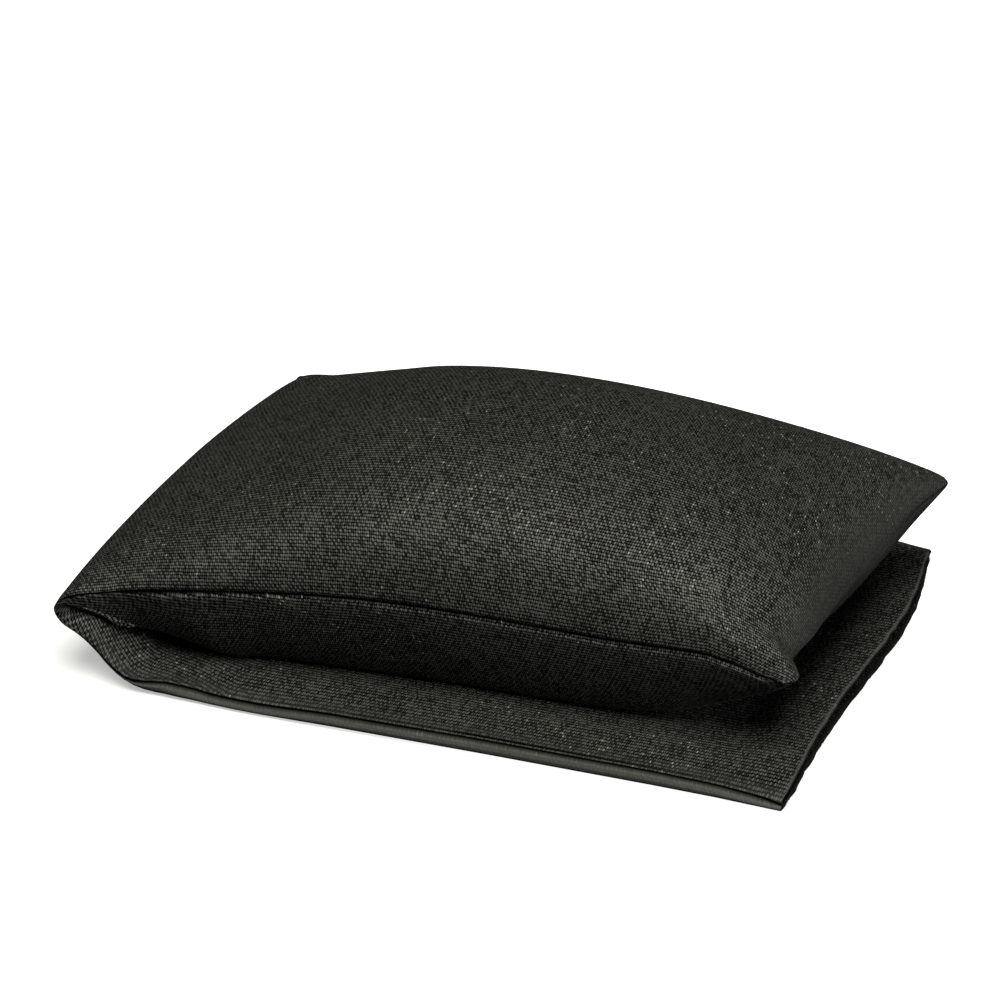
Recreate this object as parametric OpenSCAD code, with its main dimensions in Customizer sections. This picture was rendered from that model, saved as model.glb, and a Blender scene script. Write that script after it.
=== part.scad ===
// Eye pillow: a long linen sleeve, closed at one end and open at the other.
// Its closed half holds a loose pouch of seeds, and its empty half is folded under as a flap.
// The frame has the flap's length along X, the sleeve's width along Y and the table at Z = 0.

/* [Sleeve] */
// Flat width of the sewn sleeve
sleeve_w = 123.4; // [120:0.2:127]
// Thickness of the linen
cloth_t = 0.8; // [0.6:0.1:0.9]
// Width of the seam allowance inside each long edge
seam_w = 8; // [6:0.5:9]
// Thickness of the two plies of a seam allowance
allowance_t = 1.6; // [1.2:0.1:1.8]
// Half of the empty sleeve's thickness beside its seams
ply = 2.4; // [2.3:0.1:2.6]

/* [Flap] */
// Length of the flap on the table, along its middle
flap_l = 161; // [155:1:165]
// Slant of the open mouth
mouth_angle = 1.5; // [0:0.5:3]
// Bulge of the lower lip at the middle of the mouth
mouth_bulge = 3.1; // [0:0.1:4]
// Width of the hem turned in at the mouth
hem_w = 10; // [8:0.5:12]
// Thickness of the turned hem
hem_t = 0.7; // [0.5:0.1:0.8]
// Clear height between the two hems at the middle of the mouth
mouth_gap = 4.8; // [4.5:0.1:5]

/* [Filled half] */
// Length from the fold to the closed end, along the middle
pillow_l = 184; // [180:1:190]
// Height of the crown above the table
pillow_h = 62; // [56:1:64]
// Half of the width at the closed end, between its drawn-in sides
waist = 48; // [46:0.5:50]
// Slant of the fold
fold_angle = 8.6; // [4:0.2:10]
// Slant of the closed end
end_angle = 6.1; // [3:0.1:7]
// Height of the fold's leading edge
fold_z = 22.5; // [20:0.5:25]
// Height that the side seams reach on the filled half
seam_z = 32.5; // [31:0.5:34]

/* [Seed pouch] */
// Free travel of the pouch towards the fold
pouch_travel = 5; // [2:1:6]
// Room between the pouch and the sleeve at rest
pouch_room = 0.6; // [0.5:0.1:1]
// Thickness of the pouch's cotton
cotton_t = 0.6; // [0.5:0.1:0.8]
// Length of one closing stitch on the pouch
stitch_l = 3; // [2:0.5:4]

/* [Hidden] */
$fn = 48;

linen = [0.10, 0.10, 0.095];
thread = [0.16, 0.16, 0.15];
cotton = [0.90, 0.87, 0.80];
seeds = [0.45, 0.28, 0.14];

// A gap that keeps two sewn layers apart
skin = 0.06;
// Room under the filled half
rest_room = 0.55;
half_w = sleeve_w / 2;
// Middle of the fold, of the closed end, of the mouth and of the line where the sleeve leaves the table
fold_x = -89.9;
end_x = fold_x + pillow_l;
lift_x = fold_x + 20;
mouth_x = lift_x + flap_l;
// The closed end is drawn in this far between its corners
end_draw = 4;
// Share of the filled half's length that belongs to the turn
turn_share = 0.16;
panel_start = turn_share + 0.009;
crown_at = 0.53;
belly_z = 2 * ply - 2 + rest_room;
belly_depth = 44;

// The fold's leading edge is puffed up this far at its middle
fold_puff = 3;
// The tips of the turn's inner, seam and outer curves stand this far in from the fold line
tip_inset = [2.4, 0, -0.5];
// The inner layer hangs down this far at its two long edges before it meets the flap
turn_hang = 8;
// Half of the spread of the turn's inner, seam and outer curves at the tip
turn_spread = [[1.5, 1.5], [1, 2.5], [0, 3.5]];
// The allowance inside the turn is pressed thin and stands in from the tip
turn_allowance_t = 0.45 * allowance_t;
turn_allowance_in = 0.9;
turn_allowance_reach = [0.7, 0.82];
// Gap between the turn and the flap's lower layer, along the cloth
turn_gap = 1;
// The mouth's bulge leans this much towards the back
mouth_skew = 1.9;
// Length over which the upper layer bows up to the mouth
bow_l = 21;
// Room between the upper layer and its hem
hem_room = 0.4;
// A hem stops this far short of its lip, and the upper one this far from the long edges
hem_trim = 0.4;
hem_side = 8;
// The upper lip of the mouth stands back from the lower one
lip_back = 1.5;

// Grid sizes of the cloth forms
long_steps = 20;
cross_steps = 18;
flap_steps = 10;
turn_steps = 14;
pouch_steps = 10;

function clamp01(v) = max(0, min(1, v));
function ease(v) = let (c = clamp01(v)) c * c * (3 - 2 * c);
function soft_max(a, b, k) = (a + b + sqrt((a - b) * (a - b) + k * k)) / 2;
function dome(v, n, m) = pow(max(0, 1 - pow(abs(v), n)), m);
// Steps across the cloth lie closer together towards its two edges
function cross_step(j) = sin(90 * (2 * j / cross_steps - 1));
function cross_list() = [for (j = [0:cross_steps]) cross_step(j)];

// Lines across the sleeve
function fold_line(y) = fold_x + y * tan(fold_angle);
function lift_line(y) = lift_x + y * tan(fold_angle);
function mouth_line(y) = mouth_x + y * tan(mouth_angle)
    + mouth_bulge * dome(y / half_w, 2, 1) * (1 + mouth_skew * y / half_w);
function end_line(y) = end_x + y * tan(end_angle) - end_draw * dome(y / (waist + 2), 2, 1);

// The filled half: s runs from the fold to the closed end, t across from seam to seam
function side(s) = waist + (half_w - waist) * pow(1 - s, 3.2) + 2 * pow(s, 8);
function seam_height(s) = fold_z + (seam_z - fold_z) * (1 - pow(1 - s, 3.4)) - 3 * pow(s, 12);
function along(s, y, inset) = fold_line(y) + s * (end_line(y) - inset - fold_line(y));
function slack(s) = ply * (1 - s * s);
function rise_share(s) = s < crown_at
    ? 1 - pow((crown_at - s) / crown_at, 2.3)
    : dome((s - crown_at) / (1 - crown_at), 2.2, 0.47);
function drop_share(s) = s < 0.5
    ? dome((0.5 - s) / 0.5, 3, 0.9)
    : dome((s - 0.5) / 0.5, 4, 0.7);
function crown() = pillow_h - seam_height(crown_at);
function rise(s) = norm([crown() * rise_share(s), slack(s)]);
function section(s, t) = dome(t, 2.2, 0.52 - 0.08 * pow(1 - s, 2));
function top_z(s, t, inset) = seam_height(s) + max(0, rise(s) - inset) * section(s, t);
function drop(s) = norm([belly_depth * drop_share(s), slack(s)]);
function under_z(s, t, inset) =
    soft_max(belly_z, seam_height(s) - drop(s) * dome(t, 2, 0.5), 3) + inset * dome(t, 6, 0.5);

function cover_top(s, t, inset) =
    let (y = t * (side(s) - inset))
    [along(s, y, inset), y, top_z(s, t, inset) + skin];
function cover_under(s, t, inset) =
    let (y = t * (side(s) - inset))
    [along(s, y, inset), y, min(seam_height(s), under_z(s, t, inset)) - skin];

// The turn: cubic curves in the XZ plane carry both layers from the filled half round to the flap.
// Each curve passes through its tip half-way, and its two middle points stand apart by the tip's spread.
function bezier(p, u) = pow(1 - u, 3) * p[0] + 3 * pow(1 - u, 2) * u * p[1]
    + 3 * (1 - u) * u * u * p[2] + pow(u, 3) * p[3];
function through_tip(from, tip, to, spread) =
    let (m = (8 * tip - from - to) / 6)
    [from, m + spread, m - spread, to];
function xz(p) = [p[0], p[2]];
function turn_half(u) = side(turn_share) + (half_w - side(turn_share)) * ease(u * 2);
function turn_from(t, layer) =
    let (y = t * side(turn_share))
    layer > 0 ? xz(cover_top(turn_share, t, 0))
    : layer < 0 ? xz(cover_under(turn_share, t, 0))
    : [along(turn_share, y, 0), seam_height(turn_share)];
function turn_to(y, layer) =
    [lift_line(y), layer > 0 ? 2 * skin : layer < 0 ? flap_top(lift_line(y), y) : ply];
function turn_tip(y, layer) =
    let (puff = fold_puff * dome(y / half_w, 2, 1))
    [fold_line(y) + tip_inset[layer + 1] - 0.3 * puff, fold_z - 1.5 + 0.3 * layer + puff];
function turn_curve(t, y, layer) =
    through_tip(turn_from(t, layer), turn_tip(y, layer), turn_to(y, layer), turn_spread[layer + 1]);
function edge_round(t) = dome(t, 8, 0.5);
// A layer closes on the seam's own curve, layer 0, towards the two long edges,
// apart from its ends, where the panels that it meets have closed already
function turn_closing(u, t, layer) =
    let (closed = max(1 - ease(6 * u), layer < 0 ? ease(6 * u - 5) : 0))
    edge_round(t) + (1 - edge_round(t)) * closed;
function turn_xz(u, t, y, layer) =
    let (
        seam = bezier(turn_curve(t, y, 0), u),
        hang = layer < 0 && u > 0 && u < 0.5 ? turn_hang * pow(t, 6) * sin(360 * u) : 0
    )
    seam + (bezier(turn_curve(t, y, layer), u) - [0, hang] - seam) * turn_closing(u, t, layer);
function turn_point(u, t, layer, depth) =
    let (
        y = t * (turn_half(u) - depth),
        m = turn_xz(u, t, y, layer),
        d = turn_xz(u + 0.01, t, y, layer) - turn_xz(u - 0.01, t, y, layer),
        n = layer * (depth * edge_round(t) - skin) * [-d[1], d[0]] / norm(d)
    )
    [m[0] + n[0], y, m[1] + n[1]];

// The flap's upper layer lies over the seam allowances, sags between them and bows at the mouth
function bow(x, y) =
    ease((x - mouth_line(y) + bow_l) / (bow_l - hem_w + 1)) * dome(y / (half_w - 3), 4, 1);
function flap_top(x, y) =
    let (
        t = y / half_w,
        sag = 2 * ply - 2 * dome(t / 0.8, 4, 1),
        lip = 2 * (cloth_t + hem_t) + mouth_gap + skin + hem_room
    )
    ply + (sag - ply) * edge_round(t) + (lip - sag) * bow(x, y);

// A closed solid between two grids of points, with triangles for faces
module between(outer, inner) {
    rows = len(outer);
    cols = len(outer[0]);
    count = rows * cols;
    points = concat(
        [for (row = outer) for (p = row) p],
        [for (row = inner) for (p = row) p]
    );
    skins = [for (i = [0:rows - 2]) for (j = [0:cols - 2])
        let (a = i * cols + j, b = a + 1, c = a + cols + 1, d = a + cols)
        each [
            [a, c, b], [a, d, c],
            [count + a, count + b, count + c], [count + a, count + c, count + d]
        ]];
    ends = [for (j = [0:cols - 2])
        let (a = j, b = j + 1, c = (rows - 1) * cols + j, d = c + 1)
        each [
            [a, b, count + b], [a, count + b, count + a],
            [c, count + d, d], [c, count + c, count + d]
        ]];
    edges = [for (i = [0:rows - 2])
        let (a = i * cols, b = a + cols, c = a + cols - 1, d = b + cols - 1)
        each [
            [a, count + b, b], [a, count + a, count + b],
            [c, d, count + d], [c, count + d, count + c]
        ]];
    polyhedron(points, concat(skins, ends, edges), convexity = 6);
}

// The same solid with its faces turned round, for grids that run the other way
module between_reversed(outer, inner) {
    between([for (row = outer) [for (j = [len(row) - 1:-1:0]) row[j]]],
        [for (row = inner) [for (j = [len(row) - 1:-1:0]) row[j]]]);
}

// The flap's plan outline, from a line across its turned end to a line across its mouth
mouth_points = 12;
function across(edge) = [for (j = [0:mouth_points]) edge * (2 * j / mouth_points - 1)];
module flap_plan(edge, from_mouth, to_mouth) {
    left = is_undef(from_mouth)
        ? [[lift_line(edge) + turn_gap, edge], [lift_line(-edge) + turn_gap, -edge]]
        : [for (j = [mouth_points:-1:0]) let (y = across(edge)[j]) [mouth_line(y) - from_mouth, y]];
    right = [for (y = across(edge)) [mouth_line(y) - to_mouth, y]];
    polygon(concat(left, right));
}

// The turned-up rim of the lower layer along one long edge
module flap_rim(y) {
    x_left = lift_line(y) + turn_gap;
    x_right = mouth_line(y);
    translate([x_left, y < 0 ? y : y - cloth_t, 0])
        cube([x_right - x_left, cloth_t, ply - skin]);
}

module flap_lower_layer() {
    color(linen) {
        linear_extrude(cloth_t) flap_plan(half_w, undef, 0);
        flap_rim(-half_w);
        flap_rim(half_w);
    }
}

function flap_layer_grid(low) =
    [for (i = [0:flap_steps]) [for (t = cross_list())
        let (
            y = t * (half_w - low),
            x_left = lift_line(y) + 2 * skin,
            x = x_left + pow(i / flap_steps, 0.5) * (mouth_line(y) - lip_back - x_left)
        )
        [x, y, flap_top(x, y) - low + skin]]];

module flap_upper_layer() {
    color(linen) between_reversed(flap_layer_grid(0), flap_layer_grid(cloth_t));
}

// Two plies of a seam allowance, folded flat along the flap's edge with a round outer fold
module flap_seam(y_sign) {
    y_edge = y_sign * (half_w - cloth_t - 2 * skin - allowance_t / 2);
    x_left = lift_line(y_edge) + 2;
    x_right = mouth_line(y_edge) - hem_w - 2;
    y_inner = min(y_edge, y_edge - y_sign * seam_w);
    translate([x_left, 0, cloth_t + skin])
        rotate([90, 0, 90])
            linear_extrude(x_right - x_left) {
                translate([y_inner, 0]) square([seam_w, allowance_t]);
                translate([y_edge, allowance_t / 2]) circle(d = allowance_t);
            }
}

module flap_front_seam() {
    color(linen) flap_seam(-1);
}

module flap_back_seam() {
    color(linen) flap_seam(1);
}

module lower_mouth_hem() {
    color(linen)
        translate([0, 0, cloth_t + skin])
            linear_extrude(hem_t)
                flap_plan(half_w - cloth_t - 2 * skin, hem_w, hem_trim);
}

hem_rows = 4;
function upper_hem_grid(low) =
    [for (i = [0:hem_rows]) [for (t = cross_list())
        let (
            y = t * (half_w - hem_side),
            x = mouth_line(y) - lip_back - hem_w + (hem_w - hem_trim) * i / hem_rows
        )
        [x, y, flap_top(x, y) - cloth_t - hem_room - low]]];

module upper_mouth_hem() {
    color(linen) between_reversed(upper_hem_grid(0), upper_hem_grid(hem_t));
}

// A row of short stitches along the mouth, each a flat bar on the inside of its hem
hem_pitch = 4;
hem_stitch_l = 0.7 * hem_pitch;
stitch_t = 0.3;
// Room between a stitch and the hem above it
stitch_drop = 0.25;
module hem_stitch(x, y, z) {
    translate([x, y, z])
        rotate([0, 0, 90 - mouth_angle])
            translate([-hem_stitch_l / 2, -stitch_t, 0])
                cube([hem_stitch_l, 2 * stitch_t, stitch_t]);
}

// The rows end short of the long edges and lie this far from the inner edge of their hem
stitch_margin = 2.5;
upper_stitch_margin = 1.5;
stitch_reach = half_w - 12;
module lower_hem_stitches() {
    color(thread)
        for (y = [-stitch_reach:hem_pitch:stitch_reach])
            hem_stitch(mouth_line(y) - hem_w + stitch_margin, y, cloth_t + hem_t + 2 * skin);
}

// The upper row lies inside the sleeve, below the hem, which slopes down towards the long edges
module upper_hem_stitches() {
    below = cloth_t + hem_room + hem_t + stitch_drop + stitch_t;
    color(thread)
        for (y = [-stitch_reach:hem_pitch:stitch_reach])
            let (
                x = mouth_line(y) - lip_back - hem_w + upper_stitch_margin,
                outer_y = y + sign(y) * hem_stitch_l / 2
            )
                hem_stitch(x, y, flap_top(x, outer_y) - below);
}

// One layer of the turn, as rows of points from the filled half to the flap
function turn_grid(layer, depth) =
    [for (i = [0:turn_steps]) [for (t = cross_list())
        turn_point(i / turn_steps, t, layer, depth)]];

module turn_outer_layer() {
    color(linen) between(turn_grid(1, 0), turn_grid(1, cloth_t));
}

module turn_inner_layer() {
    color(linen) between_reversed(turn_grid(-1, 0), turn_grid(-1, cloth_t));
}

// A seam allowance inside the turn, near one long edge
function turn_seam_grid(y_sign, out) =
    [for (i = [1:turn_steps - 1]) [for (t = turn_allowance_reach)
        let (
            u = i / turn_steps,
            y = y_sign * t * turn_half(u),
            inward = out + turn_allowance_in * pow(sin(180 * u), 2),
            m = turn_xz(u, y_sign * t, y, 0),
            d = turn_xz(u + 0.01, y_sign * t, y, 0) - turn_xz(u - 0.01, y_sign * t, y, 0)
        )
        [m[0] - inward * d[1] / norm(d), y, m[1] + inward * d[0] / norm(d)]]];

module turn_seam(y_sign) {
    lower = turn_seam_grid(y_sign, turn_allowance_t / 2);
    upper = turn_seam_grid(y_sign, -turn_allowance_t / 2);
    if (y_sign < 0) between(lower, upper);
    else between_reversed(lower, upper);
}

module turn_front_seam() {
    color(linen) turn_seam(-1);
}

module turn_back_seam() {
    color(linen) turn_seam(1);
}

// A panel of the filled half, from its start to the closed end
function panel_share(i, start) = start + (1 - start) * sin(90 * i / long_steps);

module cover_top_panel() {
    grid = function (inset) [for (i = [0:long_steps]) [for (t = cross_list())
        cover_top(panel_share(i, panel_start), t, inset)]];
    color(linen) between_reversed(grid(0), grid(cloth_t));
}

module cover_under_panel() {
    grid = function (inset) [for (i = [0:long_steps]) [for (t = cross_list())
        cover_under(panel_share(i, panel_start), t, inset)]];
    color(linen) between(grid(0), grid(cloth_t));
}

// A seam allowance inside the filled half, along one side seam
seam_near = cloth_t + 2.2;
module cover_seam(y_sign) {
    grid = function (up) [for (i = [1:long_steps - 2]) [for (depth = [seam_near + seam_w, seam_near])
        let (
            s = panel_share(i, turn_share),
            y = y_sign * (side(s) - depth)
        )
        [along(s, y, 0), y, seam_height(s) + up]]];
    if (y_sign < 0) between(grid(allowance_t / 2), grid(-allowance_t / 2));
    else between_reversed(grid(allowance_t / 2), grid(-allowance_t / 2));
}

module cover_front_seam() {
    color(linen) cover_seam(-1);
}

module cover_back_seam() {
    color(linen) cover_seam(1);
}

// The pouch keeps inside the sleeve at both ends of its travel
pouch_from = 0.17;
pouch_to = 0.955;
pouch_sag = 3;
// Half of the row of closing stitches
closing_reach = 24;
pouch_shift = pouch_travel / pillow_l;
function pouch_side(s) = side(s) - seam_near - seam_w - 2 * pouch_room;
function pouch_mid(s) = seam_height(s) - pouch_sag;
function pouch_roof(s, y) =
    min(top_z(s, y / side(s), cloth_t), top_z(s - pouch_shift, y / side(s - pouch_shift), cloth_t))
    - pouch_room;
function pouch_floor(s, y) =
    max(under_z(s, y / side(s), cloth_t), under_z(s - pouch_shift, y / side(s - pouch_shift), cloth_t))
    + pouch_room;
// A point of the pouch: v runs along it and t across it, each from -1 to 1
function pouch_share(v, inset) =
    (pouch_from + pouch_to) / 2 + v * ((pouch_to - pouch_from) / 2 - inset / pillow_l);
function pouch_point(v, t, roof, inset) =
    let (
        s = pouch_share(v, inset),
        y = t * (pouch_side(s) - inset),
        m = pouch_mid(s),
        limit = roof ? pouch_roof(s, y) - inset : pouch_floor(s, y) + inset,
        z = m + (limit - m) * dome(t, 4, 0.5) * dome(v, 6, 0.5)
    )
    [along(s, y, 0), y, z + (roof ? skin : -skin)];
function pouch_step(i) = -cos(180 * i / pouch_steps);
function pouch_grid(roof, inset) =
    [for (i = [0:pouch_steps]) [for (j = [0:pouch_steps])
        pouch_point(pouch_step(i), pouch_step(j), roof, inset)]];

module pouch_top_panel() {
    color(cotton) between_reversed(pouch_grid(true, 0), pouch_grid(true, cotton_t));
}

module pouch_under_panel() {
    color(cotton) between_reversed(pouch_grid(false, cotton_t), pouch_grid(false, 0));
}

// Hand stitches that close the pouch at its end towards the fold
module pouch_closing_stitches() {
    color(thread)
        for (y = [-closing_reach:2 * stitch_l:closing_reach])
            translate([along(pouch_from, y, 0) - 2 * stitch_t, y, pouch_mid(pouch_from)])
                translate([0, -stitch_l / 2, -stitch_t])
                    cube([stitch_t, stitch_l, 2 * stitch_t]);
}

module seed_fill() {
    inset = cotton_t + 0.2;
    color(seeds) between_reversed(pouch_grid(true, inset), pouch_grid(false, inset));
}

flap_lower_layer();
flap_upper_layer();
flap_front_seam();
flap_back_seam();
lower_mouth_hem();
upper_mouth_hem();
lower_hem_stitches();
upper_hem_stitches();
turn_outer_layer();
turn_inner_layer();
turn_front_seam();
turn_back_seam();
cover_top_panel();
cover_under_panel();
cover_front_seam();
cover_back_seam();
pouch_top_panel();
pouch_under_panel();
pouch_closing_stitches();
seed_fill();
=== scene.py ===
"""Eye pillow: a long linen sleeve, its filled half lying on its empty half."""

import logging
from dataclasses import dataclass, field
from enum import Enum
from math import cos, pi, radians, sin, tan

import bpy
import numpy as np
from mathutils import Matrix, Vector


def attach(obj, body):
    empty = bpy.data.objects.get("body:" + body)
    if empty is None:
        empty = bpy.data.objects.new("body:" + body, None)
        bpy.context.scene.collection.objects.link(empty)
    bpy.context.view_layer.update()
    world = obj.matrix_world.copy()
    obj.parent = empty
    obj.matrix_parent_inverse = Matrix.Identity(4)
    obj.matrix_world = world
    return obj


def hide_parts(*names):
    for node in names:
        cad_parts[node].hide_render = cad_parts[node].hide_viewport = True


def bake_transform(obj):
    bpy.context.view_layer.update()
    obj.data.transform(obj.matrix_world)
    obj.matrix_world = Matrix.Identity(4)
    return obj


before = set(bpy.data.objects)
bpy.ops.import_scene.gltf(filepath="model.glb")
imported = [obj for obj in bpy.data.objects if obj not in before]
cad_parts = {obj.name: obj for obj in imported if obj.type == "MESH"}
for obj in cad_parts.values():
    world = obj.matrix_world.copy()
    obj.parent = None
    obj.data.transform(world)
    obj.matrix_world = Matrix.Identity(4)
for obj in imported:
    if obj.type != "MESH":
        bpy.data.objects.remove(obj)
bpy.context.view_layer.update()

LOG = logging.getLogger("eye_pillow")
MM = 0.001
CLOTH_UV = "cloth"
# Point attribute of painted shade (positive values darken the cloth) and painted light (negative
# values lighten it).
PAINTED_LIGHT_AND_SHADE = "seam_shade"
WEAVE_CALM = "weave_calm"
Grid = np.ndarray


class Side(Enum):
    """The two long edges of the sleeve."""

    FRONT = -1
    BACK = 1


class Ply(Enum):
    """The two layers of the sleeve: OUTER is the crown's layer, INNER the belly's."""

    OUTER = 1
    INNER = -1


def ease(v: Grid) -> Grid:
    """Smooth step from 0 to 1."""
    c = np.clip(v, 0.0, 1.0)
    return c * c * (3.0 - 2.0 * c)


def dome(v: Grid, n: float, m: Grid | float) -> Grid:
    """Round-topped profile that is 1 in the middle and 0 at plus and minus 1."""
    return np.maximum(0.0, 1.0 - np.abs(v) ** n) ** m


def bell(v: Grid) -> Grid:
    """Bell curve of height 1 and unit width."""
    return np.exp(-np.asarray(v) ** 2)


def climb(v: Grid, start: float, width: float) -> Grid:
    """Smooth step from 0 at the start to 1 a width further on."""
    return ease((v - start) / width)


@dataclass(frozen=True)
class Swell:
    """A bell-shaped swelling along one direction: height, middle and width."""

    height: float
    middle: float
    width: float

    def at(self, v: Grid) -> Grid:
        """Height of the swelling at each place."""
        return self.height * bell((v - self.middle) / self.width)


@dataclass(frozen=True)
class Step:
    """A smooth step along one direction: height, start and width."""

    height: float
    start: float
    width: float

    def up(self, v: Grid) -> Grid:
        """Step that climbs from 0 to its height."""
        return self.height * climb(v, self.start, self.width)

    def down(self, v: Grid) -> Grid:
        """Step that falls from its height to 0."""
        return self.height * (1 - climb(v, self.start, self.width))


def soft_max(a: Grid, b: Grid, k: float) -> Grid:
    """Larger of two heights, rounded over a width of k."""
    return (a + b + np.sqrt((a - b) ** 2 + k * k)) / 2.0


def unit(v: Grid) -> Grid:
    """Vectors scaled to a length of one."""
    return v / np.maximum(np.linalg.norm(v, axis=-1, keepdims=True), 1e-9)


def ripple(x: Grid, y: Grid, seed: int, waves: int, length: float) -> Grid:
    """Sum of random plane waves, about -1 to 1.

    Args:
        x: First coordinate in millimetres.
        y: Second coordinate in millimetres.
        seed: Seed of the random directions.
        waves: Number of waves.
        length: Middle wave length in millimetres.

    Returns:
        The summed height at each point.
    """
    rng = np.random.default_rng(seed)
    total = np.zeros(np.broadcast(x, y).shape)
    for _ in range(waves):
        turn = rng.uniform(0, 2 * pi)
        k = 2 * pi / (length * rng.uniform(0.6, 1.6))
        total += np.sin(k * (x * cos(turn) + y * sin(turn)) + rng.uniform(0, 2 * pi))
    return total / np.sqrt(waves)


@dataclass(frozen=True)
class TurnPath:
    """How a layer rounds the folded edge: inset of its tip, and spread in x and z."""

    inset: float
    spread: tuple[float, float]


TURN_PATHS = {
    1: TurnPath(-0.5, (0.0, 4.4)),
    0: TurnPath(0.0, (0.7, 3.8)),
    -1: TurnPath(3.2, (1.5, 1.5)),
}


@dataclass
class SleeveShape:
    """Sizes of the sleeve in millimetres, and the surfaces that follow from them."""

    half_w: float = 61.7
    cloth_t: float = 0.8
    ply: float = 2.4
    seam_w: float = 8.0
    fold_x: float = -89.9
    fold_slant: float = tan(radians(8.6))
    lift: float = 20.0
    mouth_x: float = 91.1
    mouth_slant: float = tan(radians(1.5))
    mouth_bulge: float = 3.1
    mouth_skew: float = 1.0
    mouth_waves: tuple[Swell, ...] = (
        Swell(0.6, -0.85, 0.13), Swell(1.1, 0.5, 0.35), Swell(-0.7, -0.25, 0.3),
    )
    mouth_press: Step = Step(0.6, 80.0, 15.0)
    mouth_gap: float = 2.5
    lip_room: float = 0.46
    flap_sag: float = 2.0
    sag_reach: float = 0.8
    bow_l: float = 21.0
    lip_back: float = 0.2
    hem_w: float = 10.0
    hem_t: float = 0.7
    end_x: float = 94.1
    end_slant: float = tan(radians(6.1))
    end_draw: float = 4.0
    end_flare: float = 2.0
    end_droop: float = 3.0
    pinch_from: Step = Step(1.0, -47.5, 8.0)
    pinch_deep: Swell = Swell(2.0, -41.0, 8.0)
    pinch_wide: Step = Step(1.6, -45.0, 55.0)
    pinch_back: Swell = Swell(0.6, 35.0, 9.0)
    pinch_tip: Step = Step(1.3, -55.0, 8.0)
    waist: float = 48.0
    waist_power: float = 3.2
    pillow_h: float = 61.5
    fold_z: float = 22.5
    seam_z: float = 32.5
    seam_power: float = 3.4
    crown_at: float = 0.53
    belly_depth: float = 44.0
    belly_z: float = 3.35
    belly_round: float = 3.0
    belly_full: Step = Step(0.85, -0.6, 1.3)
    tip_full: Step = Step(0.7, 0.6, 0.25)
    fold_puff: float = 3.0
    fold_part: float = 0.3
    tip_drop: float = 1.5
    back_inset: Step = Step(0.6, 0.1, 0.6)
    turn_share: float = 0.16
    corner_r: float = 3.5
    back_ear: Step = Step(2.0, 15.0, 35.0)
    ear_lift: Step = Step(2.2, 0.2, 0.8)
    mouth_back: float = 0.9
    dip_at: tuple[float, ...] = (0.40, 0.48, 0.565, 0.65, 0.74, 0.81, 0.88, 0.927, 0.967, 1.0)
    dip: tuple[float, ...] = (0.0, 0.5, 1.2, 1.8, 2.1, 1.5, 0.6, 1.8, 2.8, 2.4)
    seam_at: tuple[float, ...] = (-79, -72, -64, -59, -53, -46, -38, -27, 13, 57, 73, 95)
    front_seam: tuple[float, ...] = (3.2, 3.6, 3.0, 2.4, 2.3, 2.3, 2.7, 3.3, 4.0, 4.0, 3.5, 1.2)

    @property
    def tip_z(self) -> float:
        """Height of the folded edge's outermost line."""
        return self.fold_z - self.tip_drop

    def fold_line(self, y: Grid) -> Grid:
        """Folded edge of the sleeve, as x over y."""
        return self.fold_x + y * self.fold_slant

    def lift_line(self, y: Grid) -> Grid:
        """Line where the flap leaves the table, as x over y."""
        return self.fold_line(y) + self.lift

    def mouth_line(self, y: Grid) -> Grid:
        """Lower lip of the mouth, as x over y."""
        t = y / self.half_w
        bulge = self.mouth_bulge * dome(t, 2, 1) * (1 + self.mouth_skew * t)
        waves = sum(swell.at(t) for swell in self.mouth_waves)
        return self.mouth_x + y * self.mouth_slant + bulge + waves

    def end_line(self, y: Grid) -> Grid:
        """Closed end of the filled half, as x over y."""
        draw = self.end_draw * dome(y / (self.waist + self.end_flare), 2, 1)
        return self.end_x + y * self.end_slant - draw + self.back_ear.up(y)

    def pinch(self, y: Grid) -> Grid:
        """How far the closed end is drawn in behind its front ear."""
        drawn = self.pinch_deep.at(y) + self.pinch_wide.down(y)
        return self.pinch_from.up(y) * drawn + self.pinch_back.at(y) + self.pinch_tip.down(y)

    def side(self, s: Grid) -> Grid:
        """Half width of the filled half at share s of its length."""
        widening = (self.half_w - self.waist) * (1 - s) ** self.waist_power
        return self.waist + widening + self.end_flare * s**8

    def seam_height(self, s: Grid) -> Grid:
        """Height of the side seams at share s of the length."""
        gain = (self.seam_z - self.fold_z) * (1 - (1 - s) ** self.seam_power)
        return self.fold_z + gain - self.end_droop * s**12

    def along(self, s: Grid, y: Grid) -> Grid:
        """Place along the sleeve at share s, with the closed end's corners rounded."""
        q = np.clip((np.abs(y) - self.side(s) + self.corner_r) / self.corner_r, 0, 1)
        corner = self.corner_r * (1 - np.sqrt(1 - q * q)) * s**10
        whole = self.end_line(y) - corner - self.fold_line(y)
        return self.fold_line(y) + s * whole - self.pinch(y) * s**6

    def slack(self, s: Grid) -> Grid:
        """Room that the cloth keeps at its folded edge."""
        return self.ply * (1 - s * s)

    def rise(self, s: Grid) -> Grid:
        """Height of the crown above the seams."""
        before = 1 - np.maximum(0, (self.crown_at - s) / self.crown_at) ** 2.3
        after = dome((s - self.crown_at) / (1 - self.crown_at), 2.2, 0.5)
        share = np.where(s < self.crown_at, before, after)
        crown = self.pillow_h - self.seam_height(self.crown_at)
        return np.hypot(crown * share, self.slack(s))

    def drop(self, s: Grid, t: Grid) -> Grid:
        """Depth of the belly below the seams, before it rests on the flap."""
        q = np.abs(s - 0.5) / 0.5
        lean = dome(q, 3.7, 1.0)
        full = dome(q, 4, 0.7)
        fill = np.maximum(self.belly_full.up(t), self.tip_full.up(-t))
        end = lean + (full - lean) * fill
        share = np.where(s < 0.5, dome(q, 3, 0.9), end)
        return np.hypot(self.belly_depth * share, self.slack(s))

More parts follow.
